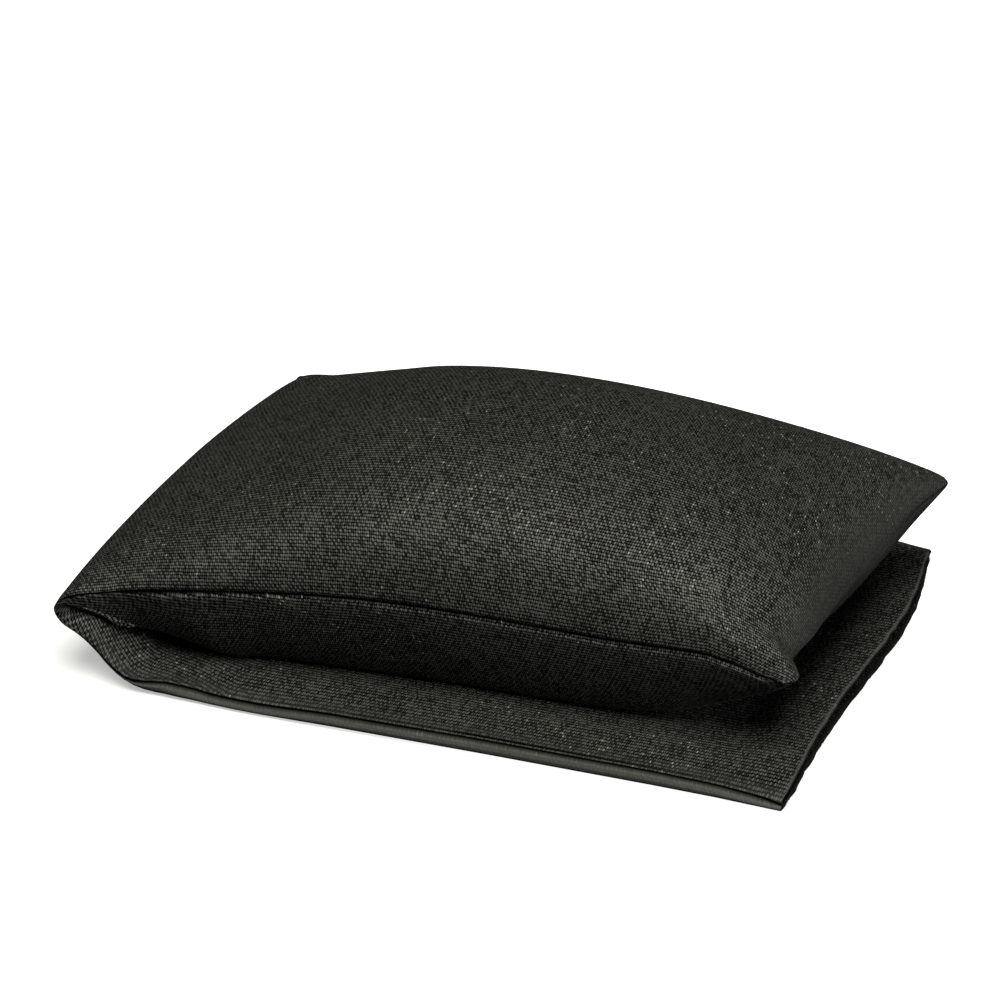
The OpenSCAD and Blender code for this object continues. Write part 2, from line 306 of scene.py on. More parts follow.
    def top_z(self, s: Grid, t: Grid) -> Grid:
        """Height of the crown's layer."""
        power = 0.52 - 0.08 * (1 - s) ** 2
        return self.seam_height(s) + self.rise(s) * dome(t, 2.2, power)

    def under_z(self, s: Grid, t: Grid) -> Grid:
        """Height of the belly's layer."""
        seam = self.seam_height(s)
        free = seam - self.drop(s, t) * dome(t, 2.5, 0.5)
        return np.minimum(seam, soft_max(self.belly_z, free, self.belly_round))

    def edge_round(self, t: Grid) -> Grid:
        """Profile of a layer of the flat sleeve towards its two edges."""
        return dome(t, 8, 0.5)

    def flap_seam(self, x: Grid, y: Grid) -> Grid:
        """Height of the flap's seams, which rise and fall along the front edge."""
        front = np.interp(x, self.seam_at, self.front_seam)
        back = self.ply * (1 - self.mouth_press.up(x))
        return np.where(y < 0, front, back)

    def flap_top(self, x: Grid, y: Grid) -> Grid:
        """Height of the flap's upper layer, which sags and bows up at the mouth."""
        t = y / self.half_w
        sag = 2 * self.ply - self.flap_sag * dome(t / self.sag_reach, 4, 1)
        lip = 2 * (self.cloth_t + self.hem_t) + self.mouth_gap + self.lip_room
        reach = (x - self.mouth_line(y) + self.bow_l) / (self.bow_l - self.hem_w + 1)
        bow = ease(reach) * dome(y / (self.half_w - 3), 4, 1)
        seam = self.flap_seam(x, y)
        return seam + (sag - seam) * self.edge_round(t) + (lip - sag) * bow

    def turn_half(self, u: Grid) -> Grid:
        """Half width of the turn at share u of its curve."""
        start = self.side(self.turn_share)
        return start + (self.half_w - start) * ease(u * 2)

    def turn_curve(self, u: Grid, t: Grid, y: Grid, layer: int) -> tuple[Grid, Grid]:
        """Cubic curve that carries a layer round the folded edge.

        Args:
            u: Share of the curve, from the filled half to the flap.
            t: Share of the half width.
            y: Place across the sleeve.
            layer: 1 for the outer layer, -1 for the inner one, 0 for the seam.

        Returns:
            The x and z of each point.
        """
        share = np.asarray(self.turn_share)
        y0 = t * self.side(share)
        x0 = self.fold_line(y0) + share * (self.end_line(y0) - self.fold_line(y0))
        heights = {
            1: (self.top_z(share, t), 0.0 * y),
            0: (self.seam_height(share) + 0 * t, self.ply + 0 * y),
            -1: (self.under_z(share, t), self.flap_top(self.lift_line(y), y)),
        }
        z0, z3 = heights[layer]
        puff = self.fold_puff * dome(y / self.half_w, 2, 1)
        path = TURN_PATHS[layer]
        inset = path.inset + self.back_inset.up(t) * (layer > 0)
        tip = (
            self.fold_line(y) + inset - self.fold_part * puff,
            self.tip_z + self.fold_part * layer + puff,
        )
        ends = ((x0, self.lift_line(y)), (z0, z3))
        out = []
        for axis in range(2):
            a, b = ends[axis]
            middle = (8 * tip[axis] - a - b) / 6
            out.append(
                (1 - u) ** 3 * a
                + 3 * (1 - u) ** 2 * u * (middle + path.spread[axis])
                + 3 * (1 - u) * u * u * (middle - path.spread[axis])
                + u**3 * b
            )
        return out[0], out[1]


@dataclass
class SleeveSkin:
    """Outside of the whole sleeve as one closed tube of points.

    Rows run from the closed end over the turn to the mouth. Columns go round the
    sleeve: the outer layer from back to front, then the inner layer to the back again.
    """

    shape: SleeveShape
    cover_rows: int = 104
    turn_rows: int = 44
    flap_rows: int = 84
    steps: tuple[float, ...] = (
        0.006, 0.007, 0.008, 0.010, 0.013, 0.017, 0.022, 0.028, 0.033, 0.036,
    )
    middle_steps: int = 42
    back_lift: float = 0.8
    lift_end: Step = Step(1.0, 0.2, 0.25)
    turn_lift_end: Step = Step(1.0, 0.1, 0.35)
    tip_lift: float = 1.3
    crown_hollow: Swell = Swell(1.0, 0.82, 0.2)
    hollow_back: Step = Step(1.0, -0.2, 0.6)
    hang_middle: float = 14.0
    hang_edge: float = 4.6
    hang_fade: Step = Step(0.3, 0.15, 0.12)
    ramp_hump: float = 11.3
    front_dip: Swell = Swell(2.1, 0.21, 0.15)
    nose_upper: Swell = Swell(1.9, 0.36, 0.2)
    nose_lower: Swell = Swell(0.9, 0.82, 0.16)
    nose_out: Swell = Swell(0.6, 0.59, 0.09)
    ramp_room: float = 0.9
    open_front: Step = Step(2.2, 0.6, 0.25)
    belly_rest: float = 0.55
    rim_roll: Swell = Swell(1.5, 0.62, 0.38)
    join_pull: float = 0.8
    edge_out: Swell = Swell(0.6, -64.0, 10.0)
    edge_in: Swell = Swell(1.2, -81.0, 7.0)
    front_out: float = 0.85
    back_out: float = 2.2
    pleat_out: Swell = Swell(2.2, -63.0, 8.0)
    pleat_in: Swell = Swell(2.6, -82.0, 7.0)
    pleat_side: Swell = Swell(1.0, 0.86, 0.13)
    cover_groove: float = 1.0
    flap_groove: float = 1.5
    groove_w: float = 0.5
    lips: Swell = Swell(0.1, 2.6, 1.5)
    # Width and strength of the painted shade along the seams.
    shade_w: float = 0.42
    seam_painted_shade: float = 1.4
    # Painted light on the flap's rim, and how calm the rim's weave is.
    rim_light: float = 0.7
    rim_calm: tuple[float, float] = (0.85, 0.4)
    # Painted light on the belly's layer along the closed end and towards its front tip.
    end_painted_light: float = 0.5
    tip_painted_light: Step = Step(0.65, 0.45, 0.35)
    end_calm: float = 0.65
    outer_slant: float = 0.17
    inner_slant: float = 0.07
    inner_offset: float = 0.2
    outer_close: float = 1.43
    inner_close: tuple[float, float, float] = (1.6, 1.4, 1.0)
    points: Grid = field(init=False)
    normals: Grid = field(init=False)
    shade: Grid = field(init=False)
    calm: Grid = field(init=False)
    uv: Grid = field(init=False)

    def __post_init__(self) -> None:
        """Lay the rows, smooth their joins and unroll the cloth."""
        self.columns = self._columns()
        self.n = len(self.columns) - 1
        rows = [self._cover(), self._turn()[1:], self._flap()[1:]]
        self.cover_end = self.cover_rows
        self.turn_end = self.cover_rows + self.turn_rows
        self.tip = self.cover_rows + self.turn_rows // 2
        self.points = np.concatenate(rows)
        self._ease_joins()
        self.normals = self._normals()
        self.uv = self._unroll()

    def _columns(self) -> Grid:
        """Places across the cloth, from 1 at the back seam to -1 at the front one."""
        edge = np.concatenate([[0.0], np.cumsum(self.steps)])
        middle = np.linspace(edge[-1], 2 - edge[-1], self.middle_steps + 1)[1:-1]
        share = np.concatenate([edge, middle, 2 - edge[::-1]])
        return np.sin((1 - share) * pi / 2)

    @property
    def loop_columns(self) -> Grid:
        """Places across the cloth of every point of a row, round the sleeve."""
        return np.concatenate([self.columns, self.columns[::-1][1:-1]])[None, :]

    def _loop(self, outer: Grid, inner: Grid) -> Grid:
        """Join the rows of two layers into closed loops."""
        return np.concatenate([outer, inner[:, ::-1][:, 1:-1]], axis=1)

    def _cover(self) -> Grid:
        """Rows of the filled half, from its closed end to the turn."""
        shape = self.shape
        k = np.linspace(1, 0, self.cover_rows + 1)[:, None]
        s = shape.turn_share + (1 - shape.turn_share) * np.sin(k * pi / 2)
        t = self.columns[None, :]
        y = t * shape.side(s)
        x = shape.along(s, y)
        top = np.stack([x, y, shape.top_z(s, t)], -1)
        under = np.stack([x, y, shape.under_z(s, t)], -1)
        under[0] = top[0]
        front, back = np.maximum(0, -t), np.maximum(0, t)
        shift = shape.ear_lift.up(t) * s**6
        shift = shift - np.interp(s, shape.dip_at, shape.dip) * front**4
        shift = shift + self.back_lift * back**4 * self.lift_end.down(s)
        shift = shift + self.tip_lift * front**4 * s**24
        hollow = self.crown_hollow.at(s) * self.hollow_back.up(t) * (1 - s**10)
        top[..., 2] += shift - hollow
        under[..., 2] += shift
        return self._loop(top, under)

    def _hang(self, u: Grid, t: Grid) -> Grid:
        """How far the inner layer hangs down on its way to the fold."""
        wave = np.where(u < 0.5, np.sin(2 * pi * u), 0)
        wave = wave * (1 - self.hang_fade.up(u))
        return wave * (self.hang_middle * dome(t, 10, 0.5) + self.hang_edge * np.abs(t) ** 6)

    def _turn(self) -> Grid:
        """Rows of the turn, from the filled half round to the flap."""
        shape = self.shape
        u = np.linspace(0, 1, self.turn_rows + 1)[:, None]
        w = np.clip(2 * u - 1, 0, 1)
        t = self.columns[None, :]
        front, back = np.maximum(0, -t), np.maximum(0, t)
        y = t * shape.turn_half(u)
        seam = shape.turn_curve(u, t, y, 0)
        hump = self.ramp_hump * w**1.3 * (1 - w) ** 0.9
        nose = self.nose_upper.at(w) * (u > 0.5) + self.nose_lower.at(w)
        layers = []
        for layer in (1, -1):
            x, z = shape.turn_curve(u, t, y, layer)
            closed = 1 - ease(6 * u)
            if layer < 0:
                closed = np.maximum(closed, ease(6 * u - 5))
                z = z - self._hang(u, t)
            edge = dome(t, 8 if layer > 0 else 30, 0.5)
            share = edge + (1 - edge) * closed
            x = seam[0] + (x - seam[0]) * share
            z = seam[1] + (z - seam[1]) * share
            z = z + hump
            z = z - self.front_dip.at(u) * front**6
            z = z + self.back_lift * back**4 * self.turn_lift_end.down(u)
            z = z - nose * front**3
            x = x - self.nose_out.at(u) * front**6
            layers.append(np.stack([x, y + 0 * x, z], -1))
        self._rest_on_ramp(layers[1])
        return self._loop(layers[0], layers[1])

    def _rest_on_ramp(self, inner: Grid) -> None:
        """Lay the upper half of the inner turn on its lower half.

        Args:
            inner: Rows of the inner layer, changed in place.
        """
        half = self.turn_rows // 2
        fade = ease(np.linspace(1, 0, half + 1) * 5)
        share = ease(np.linspace(0, 1, half + 1) * 6)
        for j in range(inner.shape[1]):
            room = (self.ramp_room + self.open_front.up(-self.columns[j])) * fade
            upper, lower = inner[: half + 1, j], inner[half:, j]
            floor = np.interp(upper[:, 0], lower[:, 0], lower[:, 2])
            flat = upper[:, 0] > lower[-1, 0]
            floor = np.where(flat, self.shape.belly_z - self.belly_rest, floor)
            lifted = soft_max(upper[:, 2], floor + room, 1.0)
            upper[:, 2] += (lifted - upper[:, 2]) * share

    def _flap(self) -> Grid:
        """Rows of the flap, from the turn to the mouth."""
        shape = self.shape
        v = np.linspace(0, 1, self.flap_rows + 1)[:, None] ** 0.9
        t = self.columns[None, :]
        y = t * shape.half_w + 0 * v
        start = shape.lift_line(y)
        mouth = shape.mouth_line(y) - shape.mouth_back * dome(t, 8, 0.5)
        lower_x = start + v * (mouth - start)
        upper_x = start + v * (mouth - shape.lip_back * dome(t, 12, 0.5) - start)
        edge = dome(t, 70, 0.5)
        roll = self.rim_roll.at(edge) * ease(v * 12) * (np.abs(t) < 0.9999)
        lower = np.stack(
            [lower_x, y + np.sign(t) * roll, shape.flap_seam(lower_x, y) * (1 - edge)], -1
        )
        upper = np.stack([upper_x, y, shape.flap_top(upper_x, y)], -1)
        seam = (lower[:, [0, -1], 0] + upper[:, [0, -1], 0]) / 2
        lower[:, [0, -1], 0] = seam
        upper[:, [0, -1], 0] = seam
        return self._loop(lower, upper)

    def _ease_joins(self) -> None:
        """Round the cloth where the turn meets the filled half and the flap."""
        for row, reach, passes in ((self.cover_end, 9, 14), (self.turn_end, 3, 2)):
            lo, hi = row - reach, row + reach
            for _ in range(passes):
                middle = self.points[lo:hi]
                mean = (self.points[lo - 1 : hi - 1] + self.points[lo + 1 : hi + 1]) / 2
                fade = 1 - np.abs(np.arange(lo, hi) - row) / (reach + 1)
                pull = fade[:, None, None] * self.join_pull
                self.points[lo:hi] = middle + (mean - middle) * pull

    def _normals(self) -> Grid:
        """Outward normals of the tube."""
        p = self.points
        rows = np.gradient(p, axis=0)
        around = np.roll(p, -1, axis=1) - np.roll(p, 1, axis=1)
        return unit(np.cross(rows, around))

    def _unroll(self) -> Grid:
        """Flat place of each point on its layer of cloth, in metres."""
        shape = self.shape
        out = np.zeros(self.points.shape[:2] + (2,))
        for ply in Ply:
            index = self.layer(ply)
            p = self.points[:, index]
            step = np.linalg.norm(np.diff(p, axis=0), axis=2)
            arc = np.concatenate([np.zeros((1, p.shape[1])), np.cumsum(step, 0)])
            lift = p[self.turn_end, :, 0]
            back = arc[self.turn_end][None, :] - arc
            whole = arc[self.turn_end]
            end = np.mean(lift - whole)
            u = np.where(back > 0, lift - back * (lift - end) / whole, p[..., 0])
            cross = np.linalg.norm(np.diff(p, axis=1), axis=2)
            across = np.concatenate([np.zeros((p.shape[0], 1)), np.cumsum(cross, 1)], 1)
            v = (2 * across / across[:, -1:] - 1) * shape.half_w
            slant = self.outer_slant if ply is Ply.OUTER else self.inner_slant
            out[:, index, 0] = (u + slant * v) * MM
            out[:, index, 1] = v * MM * self._closeness(ply)[:, None]
            out[:, index, 1] += self.inner_offset if ply is Ply.INNER else 0.0
        return out

    def _closeness(self, ply: Ply) -> Grid:
        """How close the threads across each row lie, against those of the flap."""
        rows = np.arange(self.points.shape[0])
        if ply is Ply.OUTER:
            return np.full(len(rows), self.outer_close)
        marks = (self.cover_end - 12, self.tip, self.turn_end + 10)
        return np.interp(rows, marks, self.inner_close)

    def layer(self, ply: Ply) -> Grid:
        """Columns of one layer, from the back seam to the front one."""
        if ply is Ply.OUTER:
            return np.arange(self.n + 1)
        return np.concatenate([[0], np.arange(2 * self.n - 1, self.n - 1, -1)])

    def seam_distance(self) -> Grid:
        """Distance of each point from the nearest side seam, along the cloth."""
        p = self.points
        step = np.linalg.norm(np.roll(p, -1, axis=1) - p, axis=2)
        arc = np.concatenate([np.zeros((p.shape[0], 1)), np.cumsum(step, 1)], 1)
        here = arc[:, :-1]
        front = arc[:, self.n : self.n + 1]
        return np.minimum.reduce([here, np.abs(here - front), arc[:, -1:] - here])

    def seat_wave(self) -> None:
        """Give the flap's two edges and the belly beside the turn their small waves."""
        p = self.points
        t = self.loop_columns
        rows = np.arange(p.shape[0])[:, None]
        x = p[..., 0]
        on_flap = climb(rows, self.tip + 3, 18)
        shift = self.edge_out.at(x) - self.edge_in.at(x) - self.front_out
        front, back = np.maximum(0, -t) ** 10, np.maximum(0, t) ** 10
        p[..., 1] += (shift * front + self.back_out * back) * on_flap
        on_turn = climb(rows, self.cover_end - 34, 30) * (rows < self.tip)
        inner = (np.arange(p.shape[1]) > self.n)[None, :]
        lean = x + 0.4 * (p[..., 2] - 15)
        pleat = self.pleat_out.at(lean) - self.pleat_in.at(lean)
        pleat = pleat * on_turn * self.pleat_side.at(np.abs(t)) * inner
        p += self.normals * pleat[..., None]

    def press_seams(self) -> None:
        """Sink the side seams between two rounded lips, paint light and shade on the cloth, and
        mark the calm cloth.
        """
        d = self.seam_distance()
        t = self.loop_columns
        rows = np.arange(self.points.shape[0])[:, None]
        last = self.points.shape[0] - 1
        outer = (np.arange(self.points.shape[1]) <= self.n)[None, :]
        on_cover = 1 - climb(rows, self.tip - 12, 8)
        on_flap = climb(rows, self.turn_end - 10, 10)
        depth = self.cover_groove * on_cover * climb(rows, 8, 10)
        depth = depth + self.flap_groove * on_flap * ease((last - rows) / 4)
        line = 1 - climb(rows, self.tip - 6, 5)
        # Painted shade in the seams' grooves, fading out before the folded edge.
        self.shade = bell(d / self.shade_w) * np.maximum(line, on_flap) * self.seam_painted_shade
        rim = on_flap * np.where(outer, *self.rim_calm) * (1 - climb(d, 3, 3))
        # Painted light on the flap's rim, on its outer layer.
        self.shade = self.shade - self.rim_light * rim * outer * (1 - bell(d / 0.6))
        # Painted light on the belly's layer next to the closed end and towards its front tip.
        end_painted_light = self.end_painted_light * (1 - climb(rows, 4, 8)) * dome(t, 8, 1)
        tip_painted_light = self.tip_painted_light.up(-t) * (1 - climb(rows, 12, 44))
        self.shade = self.shade - np.maximum(end_painted_light, tip_painted_light) * (1 - outer)
        self.calm = np.maximum(rim, self.end_calm * dome(t, 8, 1) * (1 - climb(rows, 8, 14)))
        self.points = self.points + self._normals() * self.lips.at(d)[..., None]
        self.points[..., 1] -= np.sign(self.points[..., 1]) * depth * bell(d / self.groove_w)
        self.normals = self._normals()


def add_object(name: str, data: bpy.types.ID) -> bpy.types.Object:
    """New object with this data, linked to the scene."""
    made = bpy.data.objects.new(name, data)
    bpy.context.scene.collection.objects.link(made)
    return made


def drop_object(piece: bpy.types.Object) -> None:
    """Remove an object and its mesh."""
    mesh = piece.data
    bpy.data.objects.remove(piece, do_unlink=True)
    bpy.data.meshes.remove(mesh)


def soften(values: Grid, passes: int) -> Grid:
    """Average a closed tube of vectors with its neighbours along and round it.

    Args:
        values: One vector for each row and column.
        passes: How many times they are averaged.

    Returns:
        The averaged vectors.
    """
    for _ in range(passes):
        padded = np.pad(values, ((1, 1), (0, 0), (0, 0)), mode="edge")
        values = (padded[:-2] + 2 * values + padded[2:]) / 4
        values = (np.roll(values, 1, 1) + 2 * values + np.roll(values, -1, 1)) / 4
    return values


@dataclass
class ClothRelaxer:
    """Inflates the filled half as cloth, and gives back how far each point moved."""

    pressure: float = 3.0
    frames: int = 20
    surplus: float = 0.012
    cap: float = 1.0
    row_step: int = 3
    column_step: int = 3
    fine_passes: int = 3
    broad_passes: int = 40
    fade_rows: int = 14
    held_rows: int = 3
    end_hold: float = 0.6
    quality: int = 8
    mass: float = 0.15
    stretch: float = 40.0
    bending: float = 0.6

    def run(self, skin: SleeveSkin) -> Grid:
        """Simulate a coarse copy of the cover and spread its movement over the skin.

        Args:
            skin: The sleeve whose filled half is inflated.

        Returns:
            The movement of each point of the cover's rows, in millimetres.
        """
        rows = np.unique(np.append(np.arange(0, skin.cover_end, self.row_step), skin.cover_end))
        cols = np.arange(0, 2 * skin.n, self.column_step)
        start = skin.points[np.ix_(rows, cols)]
        piece = self._coarse(start)
        self._hold(piece, len(rows), len(cols))
        self._inflate(piece)
        graph = bpy.context.evaluated_depsgraph_get()
        result = piece.evaluated_get(graph).to_mesh()
        flat = np.empty(len(result.vertices) * 3)
        result.vertices.foreach_get("co", flat)
        moved = flat.reshape(start.shape) / MM - start
        piece.evaluated_get(graph).to_mesh_clear()
        drop_object(piece)
        bpy.context.scene.frame_set(1)
        length = np.linalg.norm(moved, axis=2, keepdims=True)
        moved *= self.cap * np.tanh(length / self.cap) / np.maximum(length, 1e-6)
        return self._spread(moved, rows, cols, skin)

    def _coarse(self, points: Grid) -> bpy.types.Object:
        """Open tube through a coarse grid of points."""
        rows, cols = points.shape[:2]
        mesh = bpy.data.meshes.new("inflating_cover")
        faces = grid_faces(rows, cols, 0, False, True)
        mesh.from_pydata((points.reshape(-1, 3) * MM).tolist(), [], faces)
        return add_object("inflating_cover", mesh)

    def _hold(self, piece: bpy.types.Object, rows: int, cols: int) -> None:
        """Pin the rows next to the turn, and the closed end more softly."""
        pins = piece.vertex_groups.new(name="held")
        held = np.zeros((rows, cols))
        held[-self.held_rows :] = 1.0
        held[0] = self.end_hold
        for index, weight in enumerate(held.reshape(-1)):
            if weight > 0:
                pins.add([index], float(weight), "REPLACE")

    def _inflate(self, piece: bpy.types.Object) -> None:
        """Run the cloth under pressure and without weight."""
        modifier = piece.modifiers.new("cloth", "CLOTH")
        settings = modifier.settings
        settings.quality = self.quality
        settings.mass = self.mass
        settings.tension_stiffness = self.stretch
        settings.compression_stiffness = self.stretch
        settings.bending_stiffness = self.bending
        settings.use_pressure = True
        settings.uniform_pressure_force = self.pressure
        settings.shrink_min = -self.surplus
        settings.vertex_group_mass = "held"
        settings.effector_weights.gravity = 0
        modifier.collision_settings.use_collision = False
        modifier.point_cache.frame_start = 1
        modifier.point_cache.frame_end = self.frames
        for number in range(1, self.frames + 1):
            bpy.context.scene.frame_set(number)

    def _spread(self, moved: Grid, rows: Grid, cols: Grid, skin: SleeveSkin) -> Grid:
        """Interpolate the coarse movement over the cover, and keep its small waves."""
        count = 2 * skin.n
        every_row, every_col = np.arange(skin.cover_end + 1), np.arange(count)
        wide = np.zeros((len(rows), count, 3))
        ring = np.append(cols, count)
        for i in range(len(rows)):
            for axis in range(3):
                values = np.append(moved[i, :, axis], moved[i, 0, axis])
                wide[i, :, axis] = np.interp(every_col, ring, values)
        tall = np.zeros((len(every_row), count, 3))
        for j in range(count):
            for axis in range(3):
                tall[:, j, axis] = np.interp(every_row, rows, wide[:, j, axis])
        tall = soften(tall, self.fine_passes)
        fade = ease((skin.cover_end - every_row) / self.fade_rows)
        return (tall - soften(tall, self.broad_passes)) * fade[:, None, None]


class NodeMaker:
    """Small helper that adds and links nodes of one tree."""

    def __init__(self, tree: bpy.types.NodeTree) -> None:
        """Keep the tree."""
        self.tree = tree

    def add(self, kind: str, **values: object) -> bpy.types.Node:
        """Add a node and set its plain properties.

        Args:
            kind: The node's type name.
            **values: Properties of the node.

        Returns:
            The new node.
        """
        node = self.tree.nodes.new(kind)
        for name, value in values.items():
            setattr(node, name, value)
        return node

    def feed(self, socket: bpy.types.NodeSocket, value: object) -> None:
        """Link a socket to another one, or set its value."""
        if isinstance(value, bpy.types.NodeSocket):
            self.tree.links.new(value, socket)
        else:
            socket.default_value = value

    def math(self, operation: str, *values: object) -> bpy.types.NodeSocket:
        """Result of a Math node."""
        node = self.add("ShaderNodeMath", operation=operation)
        for index, value in enumerate(values):
            self.feed(node.inputs[index], value)
        return node.outputs[0]

    def noise(self, vector: object, scale: float, detail: float) -> bpy.types.NodeSocket:
        """Value of a noise texture."""
        node = self.add("ShaderNodeTexNoise")
        self.feed(node.inputs["Vector"], vector)
        node.inputs["Scale"].default_value = scale
        node.inputs["Detail"].default_value = detail
        return node.outputs["Fac"]

    def combine(self, x: object, y: object, z: object = 0.0) -> bpy.types.NodeSocket:
        """Vector from three values."""
        node = self.add("ShaderNodeCombineXYZ")
        for index, value in enumerate((x, y, z)):
            self.feed(node.inputs[index], value)
        return node.outputs[0]

    def mix(self, factor: object, a: object, b: object) -> bpy.types.NodeSocket:
        """Mix of two colours."""
        node = self.add("ShaderNodeMix", data_type="RGBA")
        self.feed(node.inputs[0], factor)
        self.feed(node.inputs[6], a)
        self.feed(node.inputs[7], b)
        return node.outputs[2]


class PlainWeave:
    """Shader group of a plain weave: height, raised nubs, and a mask of flecks and glints."""

    name = "plain_weave"
    wander_scale = 260.0
    wander_shift = (0.37, 0.11, 0.0)
    over_gain = 0.30
    slant_gain = 0.18
    thread_step = 7.31
    slub_scale = 130.0
    slub_gain = 1.3
    nub_gain = 1.3
    nub_sink = -0.16
    row_mean = 0.64
    row_gain = 0.2
    vary_gain = 1.5
    vary_least = 0.25
    fleck_and_glint_scale = 34.0
    fleck_and_glint_from = 0.50
    fleck_and_glint_gain = 0.22

    @classmethod
    def tree(cls) -> bpy.types.NodeTree:
        """Node group of the weave, made once."""
        found = bpy.data.node_groups.get(cls.name)
        if found:
            return found
        tree = bpy.data.node_groups.new(cls.name, "ShaderNodeTree")
        face = tree.interface
        face.new_socket("Place", in_out="INPUT", socket_type="NodeSocketVector")
        for label in ("Along", "Across", "Wander"):
            face.new_socket(label, in_out="INPUT", socket_type="NodeSocketFloat")
        for label in ("Height", "Nub", "Fleck"):
            face.new_socket(label, in_out="OUTPUT", socket_type="NodeSocketFloat")
        make = NodeMaker(tree)
        source = make.add("NodeGroupInput").outputs
        target = make.add("NodeGroupOutput").inputs
        place = make.add("ShaderNodeSeparateXYZ")
        make.feed(place.inputs[0], source["Place"])
        places = cls._places(make, source, place)
        waves = [make.math("SINE", make.math("MULTIPLY", p, pi)) for p in places]
        ridges = [make.math("ABSOLUTE", w) for w in waves]
        cells = [make.math("FLOOR", p) for p in places]
        dots = make.math("MULTIPLY", ridges[0], ridges[1])
        over = make.math("MULTIPLY", waves[0], waves[1])
        slant = make.math("COSINE", make.math("MULTIPLY", make.math("ADD", *places), pi))
        checker = make.math(
            "SUBTRACT",
            make.math("MULTIPLY", over, cls.over_gain),
            make.math("MULTIPLY", slant, cls.slant_gain),
        )
        slub = cls._slub(make, place, cells, over)
        height = make.math("ADD", make.math("ADD", dots, checker), slub)
        spark = make.add("ShaderNodeTexWhiteNoise", noise_dimensions="2D")
        make.feed(spark.inputs["Vector"], make.combine(cells[0], cells[1]))
        chance = spark.outputs["Value"]
        vary = make.math("ADD", make.math("MULTIPLY", chance, cls.vary_gain), cls.vary_least)
        raised = make.math("MULTIPLY", dots, cls.nub_gain)
        lit = make.math("ADD", raised, make.math("ADD", checker, cls.nub_sink))
        rows = make.math("SUBTRACT", ridges[1], cls.row_mean)
        lit = make.math("ADD", lit, make.math("MULTIPLY", rows, cls.row_gain))
        nub = make.math("MULTIPLY", make.math("ADD", lit, slub), vary)
        clear = make.add("ShaderNodeClamp")
        make.feed(clear.inputs[0], nub)
        # Mask of flecks and glints: raised threads chosen at random, more of them in patches.
        patch = make.noise(source["Place"], cls.fleck_and_glint_scale, 1.0)
        many = make.math("SUBTRACT", patch, cls.fleck_and_glint_from)
        few = make.math("SUBTRACT", 1.0, make.math("MULTIPLY", many, cls.fleck_and_glint_gain))
        chosen = make.math("GREATER_THAN", chance, few)
        fleck = make.math("MULTIPLY", chosen, make.math("POWER", dots, 2.0))
        for label, value in (("Height", height), ("Nub", clear.outputs[0]), ("Fleck", fleck)):
            make.feed(target[label], value)
        return tree

    @classmethod
    def _places(
        cls, make: NodeMaker, source: bpy.types.bpy_prop_collection, place: bpy.types.Node
    ) -> list[bpy.types.NodeSocket]:
        """Count of threads along and across the cloth, wandering a little.

        Args:
            make: Helper of the group's tree.
            source: The group's inputs.
            place: Node that splits the place on the cloth.

        Returns:
            The count along the cloth and the one across it.
        """
        shifted = make.add("ShaderNodeVectorMath", operation="ADD")
        make.feed(shifted.inputs[0], source["Place"])
        shifted.inputs[1].default_value = cls.wander_shift
        places = []
        for axis, pitch, at in ((0, "Along", source["Place"]), (1, "Across", shifted.outputs[0])):
            noise = make.noise(at, cls.wander_scale, 2.0)
            count = make.math("DIVIDE", place.outputs[axis], source[pitch])
            wander = make.math("MULTIPLY", make.math("SUBTRACT", noise, 0.5), source["Wander"])
            places.append(make.math("ADD", count, wander))
        return places

    @classmethod
    def _slub(
        cls, make: NodeMaker, place: bpy.types.Node, cells: list[bpy.types.NodeSocket],
        over: bpy.types.NodeSocket,
    ) -> bpy.types.NodeSocket:
        """Thick and thin stretches of the thread that lies on top.

        Args:
            make: Helper of the group's tree.
            place: Node that splits the place on the cloth.
            cells: Number of the thread along and across the cloth.
            over: Above 0 where the threads across lie on top.

        Returns:
            How much thicker than usual the thread is.
        """
        tones = []
        for thread, run in ((0, 1), (1, 0)):
            index = make.math("MULTIPLY", cells[thread], cls.thread_step)
            length = make.math("MULTIPLY", place.outputs[run], cls.slub_scale)
            tones.append(make.noise(make.combine(index, length, float(thread)), 1.0, 2.0))
        upper = make.math("GREATER_THAN", over, 0.0)
        gain = make.math("SUBTRACT", tones[1], tones[0])
        tone = make.math("ADD", tones[0], make.math("MULTIPLY", gain, upper))
        return make.math("MULTIPLY", make.math("SUBTRACT", tone, 0.5), cls.slub_gain)


def start_material(name: str) -> tuple[bpy.types.Material, NodeMaker, bpy.types.Node]:
    """New material, with the helper of its tree and its Principled shader."""
    material = bpy.data.materials.new(name)
    material.use_nodes = True
    return material, NodeMaker(material.node_tree), material.node_tree.nodes["Principled BSDF"]


